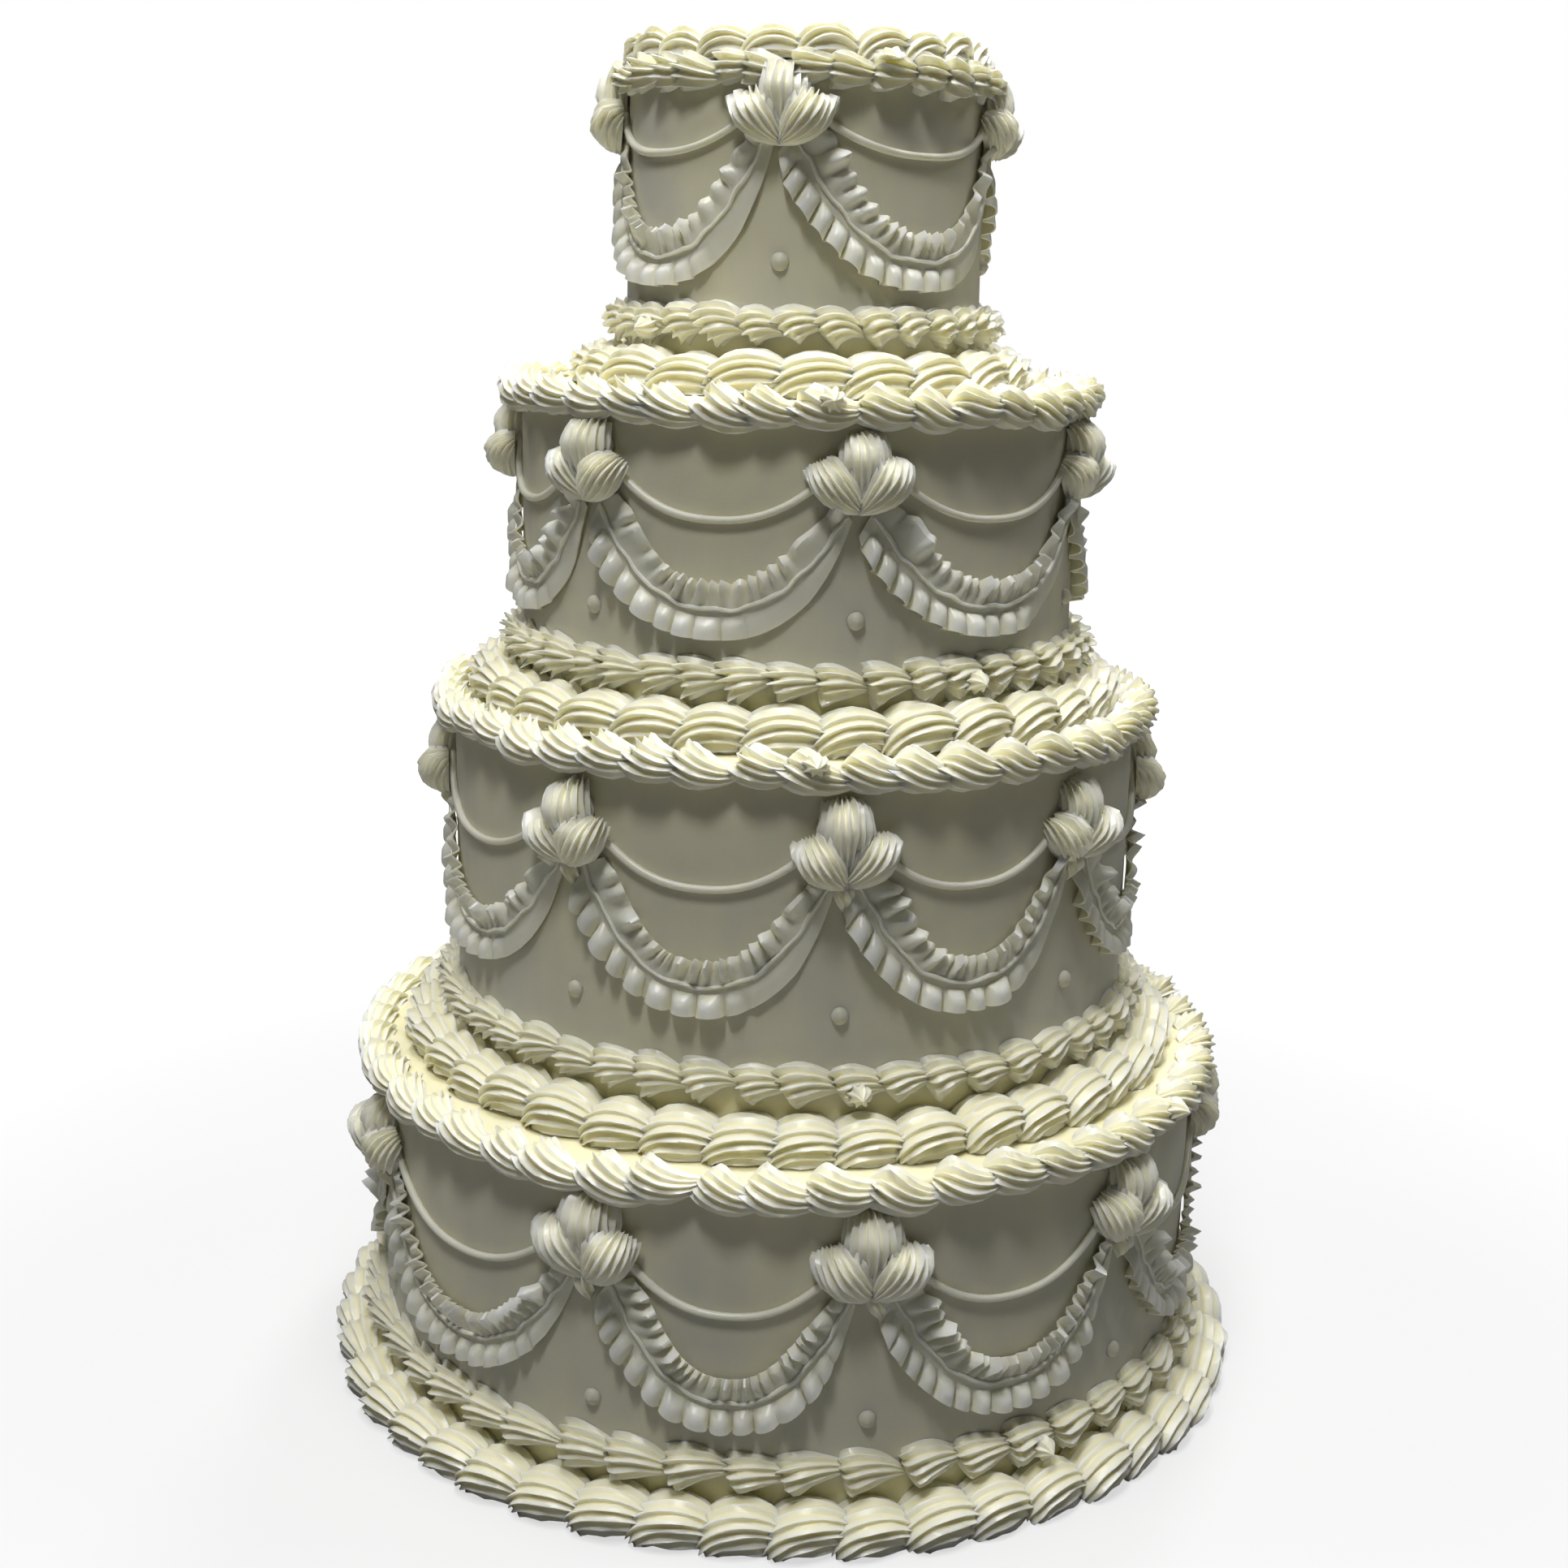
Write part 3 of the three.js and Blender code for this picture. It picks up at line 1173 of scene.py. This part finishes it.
def soft_step(values: np.ndarray, start: float, width: float) -> np.ndarray:
    """Rises softly from 0 at the start to 1 at the start plus the width."""
    rise = np.clip((values - start) / width, 0, 1)
    return rise * rise * (3 - 2 * rise)


def pleat_place(turns: np.ndarray) -> np.ndarray:
    """Gives each point's place in its own pleat, from -1 to 1."""
    return (turns % 1 - 0.5) / 0.5


def pleat_sizes(turns: np.ndarray, sizes: tuple[float, float], count: int, rng: Generator) -> np.ndarray:
    """Draws one size for each pleat and gives each point that of its own."""
    return rng.uniform(*sizes, count)[np.floor(turns + 1).astype(int)]


def wandering(share: np.ndarray, spread: float, knots: int, rng: Generator) -> np.ndarray:
    """Draws a line that wanders to both sides of zero, and gives its value at each share of it."""
    return np.interp(share, np.linspace(0, 1, knots), rng.uniform(-spread, spread, knots))


SPARE_PLEATS = 4  # past the last one that is counted, so that every point has its own
BLUNT = 0.8  # below 1, pleats are blunter on top

# Curves of the ruffles: where a point lies along a swag or the grid, and the value there.
GRID_TO_SHARE = ((0, 0.72, 1), (0, 0.62, 1))
UPPER_WIDTHS = ((0, 0.06, 0.3, 0.85, 1), (0.9, 1.15, 0.95, 0.85, 0.5))
LOWER_WIDTHS = ((0, 0.06, 0.6, 0.78, 0.9, 1), (0.7, 1, 0.95, 0.78, 0.5, 0.25))
# The rib's waves: their heights and their turns a pleat. Then how it lifts and swells with them.
RIB_WAVES = ((0.5 * MM, 0.45), (0.3 * MM, 0.8))
RIB_LIFT = 0.4
RIB_SWELL, RIB_SWELLS = 0.16, 29
# Uneven pleats: how far they wander in turns, and how many points of that are drawn.
TUBE_WANDER, TUBE_KNOTS = 0.16, 12
FOLD_WANDER, FOLD_SPLAY, FOLD_KNOTS = 0.4, 0.35, 16
# How fast pleats grow from a swag's start, and their least size there.
TUBE_START = (16, 0.2)
FOLD_START = (12, 0.3)
# The plain ribbon: how uneven its start is, its height, its ripples' height and number.
PLAIN_SPREAD = 0.05
RIBBON, RIPPLE, RIPPLES = 0.1, 0.08, 4.3
# Across a ruffle, from 0 at the rib to 1 at the hem.
RISE_FROM, RISE_OVER = 0.24, 0.3
FLARE = (0.72, 0.28)  # at the rib, and what is added at the hem
PUFF_BEND, PUFF_FROM, PUFF_OVER, PUFF_DROP = 1.2, 0.7, 0.3, 0.6
FOLD_SHRINK, TUBE_SHRINK, STRETCH = 0.2, 0.07, 1.04
FOLD_SLIDE, TUBE_SLIDE = 0.12, -0.62
FOLD_PINCH, TUBE_PINCH = 0.12, 0.14
TUBE_SPLAY = (1.7, 2.2)  # at the rib, and what is taken off at the hem
# Shares of the pale colour on a ruffle: the rest is painted warm bounce light, most in the hollows.
PALE = (0.35, 0.65)  # in a hollow, and what is added on a crest


@dataclass(frozen=True)
class Garland:
    """A double ruffle hung in swags: pleats on both sides of a thin raised rib.

    The lower ruffle is made of round tubes that run out into a plain ribbon, the upper one of soft
    folds, broad at both ends and fine at the low point. Both lie flat along the rib.
    """

    node: str
    end_drop: float
    low_drop: float
    inset: float
    lower_pleat: float
    plain_from: float
    frill_ends: float
    upper_depth: float
    seed: int
    upper_width: float = 13.0 * MM
    lower_width: float = 12.8 * MM
    upper_pleat: float = 7.5 * MM
    lower_depth: float = 6.6 * MM
    thickness: float = 0.9 * MM
    columns: int = 126
    rows: int = 11
    rib_radius: float = 0.85 * MM
    rib_outset: float = 3.0 * MM
    rib_points: int = 44
    tube_sizes: tuple[float, float] = (0.8, 1.15)
    tube_width: float = 0.86
    tube_fade: float = 34
    fold_sizes: tuple[float, float] = (0.4, 1.25)
    frill_middle: float = 1.4
    frill_reach: float = 0.26
    inner_outset: float = 2.0 * MM
    hem_outset: float = 0.8 * MM

    def build(self, tier: TierFrame, material: Material) -> None:
        """Models one ruffle and its rib for each swag and joins them.

        Args:
            tier: the tier that they hang on.
            material: the icing.
        """
        rng = np.random.default_rng(self.seed)
        pieces = []
        for start, span in tier.swags():
            swag = Swag(tier, start, span, self.end_drop, self.low_drop, self.inset)
            pieces.append(self._ruffle(swag, rng))
            pieces.append(self._rib(swag, rng))
        garland = join_all(pieces, f"piped_{self.node}")
        bpy.ops.object.shade_smooth_by_angle(angle=RUFFLE_SOFT_ANGLE)
        dress(garland, material, [self.node])

    def _rib(self, swag: Swag, rng: Generator) -> Object:
        """Pipes the thin wavy line along the middle of the ruffle.

        Args:
            swag: its middle line.
            rng: the source of its waves.

        Returns:
            The line, laid on the wall.
        """
        share = np.linspace(0.01, 0.99, self.rib_points)
        x, z, tilt = swag.place(share)
        turn = share * swag.length / self.lower_pleat * math.tau
        (high, slow), (low, quick) = RIB_WAVES
        wave = high * np.sin(slow * turn + phase(rng)) + low * np.sin(quick * turn)
        out = self.rib_outset + RIB_LIFT * wave
        route = swag.on_wall(x - wave * np.sin(tilt), out, z + wave * np.cos(tilt))
        radius = self.rib_radius * (1 + RIB_SWELL * np.sin(RIB_SWELLS * share + phase(rng)))
        return piped_tube("rib", [route], [radius])

    def _tubes(self, share: np.ndarray, length: float, rng: Generator) -> tuple[np.ndarray, np.ndarray]:
        """Works out the lower ruffle.

        Args:
            share: where each point lies along the swag.
            length: the swag's length.
            rng: the source of its unevenness.

        Returns:
            How far it stands out and where in its pleat it is, from -1 to 1, at each point.
        """
        count = length / self.lower_pleat
        turns = count * share + wandering(share, TUBE_WANDER, TUBE_KNOTS, rng) + rng.uniform(0, 1)
        each = pleat_sizes(turns, self.tube_sizes, int(count) + SPARE_PLEATS, rng)
        place = pleat_place(turns)
        tube = np.sqrt(np.clip(1 - (place / (self.tube_width * each)) ** 2, 0, 1)) ** BLUNT
        past = share - self.plain_from - rng.uniform(-PLAIN_SPREAD, PLAIN_SPREAD)
        fade = 1 / (1 + np.exp(past * self.tube_fade))
        ribbon = RIBBON + RIPPLE * np.sin(RIPPLES * math.tau * share + phase(rng))
        growth, least = TUBE_START
        return each * tube * fade * np.clip(share * growth, least, 1) + ribbon * (1 - fade), place

    def _frill(
        self, share: np.ndarray, edge: np.ndarray, length: float, rng: Generator
    ) -> tuple[np.ndarray, np.ndarray]:
        """Works out the upper ruffle.

        Args:
            share: where each point lies along the swag.
            edge: how far it lies from the middle line, from 0 to 1.
            length: the swag's length.
            rng: the source of its unevenness.

        Returns:
            How far it stands out and where in its fold it is, from -1 to 1, at each point.
        """
        near_middle = np.exp(-(((share - 0.5) / self.frill_reach) ** 2))
        crowd = self.frill_ends + (self.frill_middle - self.frill_ends) * near_middle
        order = np.argsort(share)
        steps = np.diff(share[order], prepend=0) * crowd[order]
        turns = np.empty_like(share)
        turns[order] = np.cumsum(steps) * length / self.upper_pleat
        turns += wandering(share, FOLD_WANDER, FOLD_KNOTS, rng) + rng.uniform(1, 2)
        turns += wandering(share, FOLD_SPLAY, FOLD_KNOTS, rng) * edge
        each = pleat_sizes(turns, self.fold_sizes, int(turns.max()) + SPARE_PLEATS, rng)
        fold = (0.5 - 0.5 * np.cos(math.tau * turns)) ** BLUNT
        growth, least = FOLD_START
        return each * fold * np.clip(share * growth, least, 1), pleat_place(turns)

    def _ruffle(self, swag: Swag, rng: Generator) -> Object:
        """Models one swag's ruffle.

        Args:
            swag: its middle line.
            rng: the source of its unevenness.

        Returns:
            The ruffle, laid on the wall.
        """
        grid = {"x_subdivisions": self.columns, "y_subdivisions": self.rows, "size": 2}
        ruffle = add_shape(bpy.ops.mesh.primitive_grid_add, **grid)
        points = points_of(ruffle)
        share = np.interp((points[:, 0] + 1) / 2, *GRID_TO_SHARE)
        across = points[:, 1]
        edge = np.abs(across)
        upper = across > 0
        tubes, tube_place = self._tubes(share, swag.length, rng)
        folds, fold_place = self._frill(share, edge, swag.length, rng)
        x, z, tilt = swag.place(share)
        rise = soft_step(edge, RISE_FROM, RISE_OVER)
        flare = rise * (FLARE[0] + FLARE[1] * edge)
        out = self.inner_outset * (1 - edge) + self.hem_outset * edge
        puff = edge**PUFF_BEND * (1 - PUFF_DROP * np.clip((edge - PUFF_FROM) / PUFF_OVER, 0, 1) ** 2)
        out += np.where(upper, self.upper_depth * folds * puff, self.lower_depth * tubes * flare)
        upper_half = self.upper_width * np.interp(share, *UPPER_WIDTHS)
        half = np.where(upper, upper_half, self.lower_width * np.interp(share, *LOWER_WIDTHS))
        shrink = np.where(upper, FOLD_SHRINK * (1 - folds) * edge, TUBE_SHRINK * tubes * edge)
        reach = np.sign(across) * half * edge * (STRETCH - shrink)
        slide = np.where(upper, FOLD_SLIDE, TUBE_SLIDE * np.sin(tilt)) * half * edge
        fold_pinch = FOLD_PINCH * self.upper_pleat * fold_place
        pinch = np.where(upper, fold_pinch, TUBE_PINCH * self.lower_pleat * tube_place)
        slide -= pinch * rise * np.where(upper, folds, tubes * (TUBE_SPLAY[0] - TUBE_SPLAY[1] * edge))
        along, up = slide * np.cos(tilt), slide * np.sin(tilt)
        laid = swag.on_wall(x + along - reach * np.sin(tilt), out, z + up + reach * np.cos(tilt))
        move_points(ruffle, laid)
        # Painted warm bounce light in the ruffle's hollows.
        stands_out = np.where(upper, folds, tubes)
        set_values(ruffle, CREST, np.clip(PALE[0] + PALE[1] * stands_out * rise, 0, 1))
        with editing(ruffle):
            turn_faces_out()
        solid = ruffle.modifiers.new("thickness", "SOLIDIFY")
        solid.thickness = self.thickness
        solid.offset = 0
        bpy.ops.object.modifier_apply(modifier=solid.name)
        return ruffle


# ---------------------------------------------------------------- tiers


@dataclass(frozen=True)
class IcedTier:
    """A smooth iced tier with a pearl piped under each fleur, painted bounce light near its foot.

    Lifts are above its foot. Above the band it is mostly pale, with more painted light further up, and on
    its top.
    """

    pearl_lift: float
    top_pale: float
    pearl_radius: float = 3.8 * MM
    pearl_depth: float = 0.85  # against its width
    tip_radius: float = 0.8 * MM
    tip_length: float = 0.5 * MM
    edge_radius: float = 2.5 * MM
    edge_segments: int = 3
    # The band of painted warm bounce light near the foot: where it ends, the lifts of the loops at its
    # edge, and its share of the pale colour.
    warm_to: float = 24 * MM
    band_lifts: tuple[float, float] = (18 * MM, 27 * MM)
    warm_pale: float = 0.1
    painted_light_rise: float = 0.34
    flats: int = 180
    bands: int = 6

    def build(self, tier: TierFrame, material: Material) -> None:
        """Models the tier from its foot up and adds its pearls.

        Args:
            tier: its sizes.
            material: the icing.
        """
        body = add_shape(
            bpy.ops.mesh.primitive_circle_add,
            vertices=self.flats,
            radius=tier.foot_radius,
            fill_type="NGON",
            location=(0, 0, tier.foot_z),
        )
        wall = tier.top_z - tier.foot_z
        below, above = self.band_lifts
        with editing(body):
            for low, high in pairwise([0, below, *np.linspace(above, wall, self.bands)]):
                grow = tier.wall_radius(tier.foot_z + high) / tier.wall_radius(tier.foot_z + low)
                bpy.ops.mesh.extrude_region_move(TRANSFORM_OT_translate={"value": (0, 0, high - low)})
                bpy.ops.transform.resize(value=(grow, grow, 1), center_override=(0, 0, 0))
            bpy.ops.mesh.bevel(offset=self.edge_radius, segments=self.edge_segments, affect="EDGES")
            turn_faces_out()
        # Painted light on the wall: warm bounce light in the band near the foot, more of it further up, and
        # on the top.
        lift = points_of(body)[:, 2] - tier.foot_z
        pale = np.where(lift > self.warm_to, 1 - self.painted_light_rise * lift / wall, self.warm_pale)
        on_top = lift > wall - 0.6 * self.edge_radius
        set_values(body, CREST, np.where(on_top, self.top_pale, pale))
        pieces = [body, *(self._pearl(tier, a) for a in tier.fleur_azimuths())]
        iced = join_all(pieces, f"iced_tier_{tier.number}")
        bpy.ops.object.shade_smooth_by_angle(angle=TIER_SOFT_ANGLE)
        dress(iced, material, [f"tier_{tier.number}"])

    def _pearl(self, tier: TierFrame, azimuth: float) -> Object:
        """Models one pearl with its small tip and lays it on the wall.

        Args:
            tier: the tier's sizes.
            azimuth: where it goes.

        Returns:
            The pearl.
        """
        ball = {"segments": 20, "ring_count": 12, "radius": self.pearl_radius}
        pearl = add_shape(bpy.ops.mesh.primitive_uv_sphere_add, **ball)
        points = points_of(pearl)
        points[:, 1] *= self.pearl_depth
        from_tip = np.hypot(points[:, 0], points[:, 2]) / self.tip_radius
        points[:, 1] -= self.tip_length * np.exp(-(from_tip**2)) * (points[:, 1] < 0)
        move_points(pearl, points)
        set_values(pearl, CREST, 1)
        tier.lay_round(pearl, azimuth, tier.foot_z + self.pearl_lift)
        return pearl


# ---------------------------------------------------------------- the cake, tier by tier


@dataclass(frozen=True)
class TierDesign:
    """What is piped on one tier. Drops are below its top edge, lifts above its foot.

    Starts are the azimuths of the first shell of a row, in degrees.
    """

    rim_count: int
    foot_count: int
    base_count: int
    rim_start: float
    foot_start: float
    base_start: float
    foot_arch: float
    fleur_angle: float
    plain_from: float
    frill_ends: float
    top_pale: float
    foot_lips: float
    fleur_lips: float
    pearl_lift: float
    fleur_drop: float
    fleur_fall: float
    top_length: float
    top_half_height: float
    side_length: float
    side_half_height: float
    drop_length: float
    string_low: float
    garland_end: float
    garland_low: float
    garland_inset: float
    lower_pleat: float
    upper_depth: float


# One value for each tier, the top one first.
COUNTS_ANGLES_SHARES = {
    "rim_count": (30, 38, 46, 51),
    "foot_count": (30, 43, 50, 50),
    "base_count": (21, 31, 40, 47),
    "rim_start": (31, 10, 7, 60),
    "foot_start": (-42, 38, 14, 37),
    "base_start": (10, -20, 25, 30),
    "foot_arch": (42, 18, 30, 24),
    "fleur_angle": (38, 35, 32, 35),
    "plain_from": (0.62, 0.56, 0.62, 0.8),
    "frill_ends": (0.6, 0.45, 0.6, 1.0),
    # Share of the pale colour on a tier's top: the rest is painted light from above. The top tier's is
    # less, a painted shade where its light is strong.
    "top_pale": (0.8, 0.3, 0.3, 0.3),
}
MILLIMETRES = {
    "foot_lips": (1.8, 3.8, 1.4, 2.2),
    "fleur_lips": (3.2, 1.6, 2.8, 2.2),
    "pearl_lift": (54, 52, 57, 50),
    "fleur_drop": (25, 29, 35, 32),
    "fleur_fall": (7.5, 13, 14, 16),
    "top_length": (32.5, 34, 36, 37),
    "top_half_height": (11.6, 11.4, 11.2, 13),
    "side_length": (23.5, 25, 25.5, 28.5),
    "side_half_height": (9.4, 9.4, 9.6, 11.4),
    "drop_length": (0, 0, 14, 15),
    "string_low": (36, 47, 53, 58),
    "garland_end": (28, 43, 48, 49),
    "garland_low": (78, 83, 94, 96),
    "garland_inset": (5, 5, 6, 9),
    "lower_pleat": (9, 9.4, 10.2, 9.4),
    "upper_depth": (9, 9, 10, 12),
}
DESIGNS = [
    TierDesign(
        **{name: values[i] for name, values in COUNTS_ANGLES_SHARES.items()},
        **{name: values[i] * MM for name, values in MILLIMETRES.items()},
    )
    for i in range(4)
]
STRING_RISE = 16 * MM  # how far above a fleur's middle the strings end
FOOT_ROW_LIFT = 26 * MM
BASE_REACH = 11 * MM
CROWN_COUNT = 22
FRILL_DROP = 3.6 * MM
ROPE_LIFT = 2.2 * MM
# The shells' lengths against the distance from each to the next.
FAN_OVERLAP = 1.22
BASE_OVERLAP = 1.34
FRILL_OVERLAP = 1.5
ROPE_OVERLAP = 1.42


@dataclass
class Cake:
    """The whole cake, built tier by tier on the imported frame."""

    nodes: dict[str, Object]
    wall_icing: Material = field(init=False)
    piped_icing: Material = field(init=False)

    def __post_init__(self) -> None:
        """Mixes the icings."""
        self.wall_icing = WALL_ICING.material()
        self.piped_icing = PIPED_ICING.material()

    def build(self) -> None:
        """Builds every tier, the top one first."""
        for number, design in enumerate(DESIGNS, 1):
            tier = TierFrame.read(number, self.nodes)
            IcedTier(design.pearl_lift, design.top_pale).build(tier, self.wall_icing)
            for plan in (self._rows, self._hangings, self._fleurs):
                for piping in plan(tier, design):
                    piping.build(tier, self.piped_icing)

    def _rows(self, tier: TierFrame, design: TierDesign) -> Iterator[ShellRow]:
        """Designs a tier's rows of shells.

        Args:
            tier: its sizes.
            design: what is piped on it.

        Yields:
            Each row: on the wall near the foot, in the corner at the foot, and on the edge.
        """
        n = tier.number
        arch = math.radians(design.foot_arch)
        fan = replace(FAN, head_tilt=arch, tail_tilt=-arch, lips=design.foot_lips)
        yield ShellRow(
            kind="foot",
            shell=fan.spaced(tier.foot_radius, design.foot_count, FAN_OVERLAP),
            count=design.foot_count,
            height=tier.foot_z + FOOT_ROW_LIFT,
            start=design.foot_start,
            uneven=0.09,
            seed=10 + n,
        )
        yield ShellRow(
            kind="base",
            shell=BASE_ARCH.spaced(tier.foot_radius + BASE_REACH, design.base_count, BASE_OVERLAP),
            count=design.base_count,
            height=tier.foot_z,
            start=design.base_start,
            outset=10.5 * MM,
            uneven=0.05,
            seed=20 + n,
            knotted=False,
        )
        if n > 1:
            yield ShellRow(
                kind="rim",
                shell=ROPE.spaced(tier.top_radius, design.rim_count, ROPE_OVERLAP),
                count=design.rim_count,
                height=tier.top_z + ROPE_LIFT,
                start=design.rim_start,
                outset=0.6 * MM,
                slope=math.radians(9),
                roll=math.radians(-32),
                uneven=0.09,
                seed=4 + n,
            )
            return
        yield ShellRow(
            kind="crown",
            shell=CROWN_ARCH,
            count=CROWN_COUNT,
            height=tier.top_z,
            start=design.rim_start,
            outset=-5.5 * MM,
            uneven=0.07,
            seed=3,
        )
        yield ShellRow(
            kind="rim",
            shell=FRILL.spaced(tier.top_radius, design.rim_count, FRILL_OVERLAP),
            count=design.rim_count,
            height=tier.top_z - FRILL_DROP,
            start=design.rim_start,
            uneven=0.12,
            seed=4,
            knotted=False,
        )

    def _hangings(self, tier: TierFrame, design: TierDesign) -> tuple[StringLines, Garland]:
        """Designs what hangs on a tier's wall.

        Args:
            tier: its sizes.
            design: what is piped on it.

        Returns:
            The lines and the garlands.
        """
        n = tier.number
        return StringLines(f"string_{n}", design.fleur_drop - STRING_RISE, design.string_low), Garland(
            node=f"garland_{n}",
            end_drop=design.garland_end,
            low_drop=design.garland_low,
            inset=design.garland_inset,
            lower_pleat=design.lower_pleat,
            plain_from=design.plain_from,
            frill_ends=design.frill_ends,
            upper_depth=design.upper_depth,
            seed=30 + n,
        )

    def _fleurs(self, tier: TierFrame, design: TierDesign) -> Iterator[Fleur]:
        """Designs the fleurs over the ends of a tier's swags.

        Args:
            tier: its sizes.
            design: what is piped on it.

        Yields:
            Each fleur.
        """
        lips = design.fleur_lips
        for name, azimuth in tier.fleurs.items():
            yield Fleur(
                node=name,
                azimuth=azimuth,
                height=tier.top_z - design.fleur_drop,
                fall=design.fleur_fall,
                side_angle=math.radians(design.fleur_angle),
                top=replace(
                    FLEUR_TOP, length=design.top_length, half_height=design.top_half_height, lips=lips
                ),
                side=replace(
                    FLEUR_SIDE, length=design.side_length, half_height=design.side_half_height, lips=lips
                ),
                drop_length=design.drop_length,
                seed=100 * tier.number + int(name.rsplit("_", 1)[1]),
            )


# ---------------------------------------------------------------- studio


@dataclass(frozen=True)
class Studio:
    """A pale floor that glows more further out, soft light all round, and the camera."""

    camera_distance: float = 961.5 * MM
    camera_height: float = 505 * MM
    tilt_down: float = 13.7
    roll: float = 1.25
    lens: float = 48.0
    sensor_width: float = 36.0
    shift_x: float = -0.0055
    floor_radius: float = 8.0
    floor_grey: float = 0.2
    glow_radii: tuple[float, float] = (0.3, 1.1)
    least_glow: float = 0.65
    lit_height: float = 0.35
    room_light: float = 0.03

    def build(self) -> None:
        """Sets the stage up."""
        self._camera()
        self._floor()
        self._lights()
        self._world()

    def _camera(self) -> None:
        """Adds the camera."""
        data = bpy.data.cameras.new("camera")
        data.lens = self.lens
        data.sensor_width = self.sensor_width
        data.shift_x = self.shift_x
        camera = add_object("camera", data)
        pitch = Matrix.Rotation(math.radians(90 - self.tilt_down), 4, "X")
        roll = Matrix.Rotation(math.radians(self.roll), 4, "Z")
        place = Matrix.Translation((0, -self.camera_distance, self.camera_height))
        camera.matrix_world = place @ pitch @ roll
        bpy.context.scene.camera = camera

    def _floor(self) -> None:
        """Adds a pale round floor, which the camera alone sees glow."""
        disc = {"vertices": 96, "radius": self.floor_radius, "fill_type": "NGON"}
        floor = add_shape(bpy.ops.mesh.primitive_circle_add, **disc)
        floor.name = "floor"
        material, tree = new_material(
            "pale_floor",
            Base_Color=(*[self.floor_grey] * 3, 1),
            Roughness=0.9,
            Emission_Color=WHITE,
        )
        place = new_node(tree, "ShaderNodeTexCoord").outputs["Object"]
        reach = new_node(tree, "ShaderNodeVectorMath", operation="LENGTH", Vector=place)
        glow = new_node(
            tree,
            "ShaderNodeMapRange",
            interpolation_type="SMOOTHSTEP",
            Value=reach.outputs["Value"],
            From_Min=self.glow_radii[0],
            From_Max=self.glow_radii[1],
            To_Min=self.least_glow,
        )
        seen = new_node(tree, "ShaderNodeLightPath").outputs["Is Camera Ray"]
        shown = maths(tree, "MULTIPLY", glow.outputs["Result"], seen)
        tree.links.new(shown, tree.nodes["Principled BSDF"].inputs["Emission Strength"])
        floor.data.materials.append(material)

    def _lights(self) -> None:
        """Adds a large light overhead and a softer one on each of the four sides."""
        for name, place, size, power in (
            ("overhead", (0.0, -0.2, 2.4), 0.9, 38),
            ("front", (-0.35, -1.15, 2.4), 0.4, 24),
            ("back", (0.35, 1.15, 2.4), 0.4, 20),
            ("left", (-1.3, 0.2, 2.2), 0.6, 8),
            ("right", (1.3, 0.2, 2.2), 0.6, 8),
        ):
            data = bpy.data.lights.new(name, "AREA")
            data.shape = "SQUARE"
            data.size = size
            data.energy = power
            light = add_object(name, data)
            light.location = place
            aim = Vector((0, 0, self.lit_height)) - Vector(place)
            light.rotation_euler = aim.to_track_quat("-Z", "Y").to_euler()

    def _world(self) -> None:
        """Lights the room softly and shows white behind the cake."""
        world = bpy.data.worlds.new("studio")
        world.use_nodes = True
        tree = world.node_tree
        tree.nodes.clear()
        blend = new_node(tree, "ShaderNodeMixShader")
        seen = new_node(tree, "ShaderNodeLightPath").outputs["Is Camera Ray"]
        feed(tree, blend.inputs[0], seen)
        for socket, strength in zip(blend.inputs[1:], (self.room_light, 1.0)):
            light = new_node(tree, "ShaderNodeBackground", Color=WHITE, Strength=strength)
            feed(tree, socket, light.outputs[0])
        new_node(tree, "ShaderNodeOutputWorld", Surface=blend.outputs[0])
        bpy.context.scene.world = world
        bpy.context.scene.view_settings.view_transform = "Standard"


def main() -> None:
    """Loads the frame, dresses the cake and sets the studio up."""
    logging.basicConfig(level=logging.INFO, format="%(name)s: %(message)s")
    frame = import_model()
    Studio().build()
    Cake(frame["nodes"]).build()


if __name__ == "__main__":
    main()
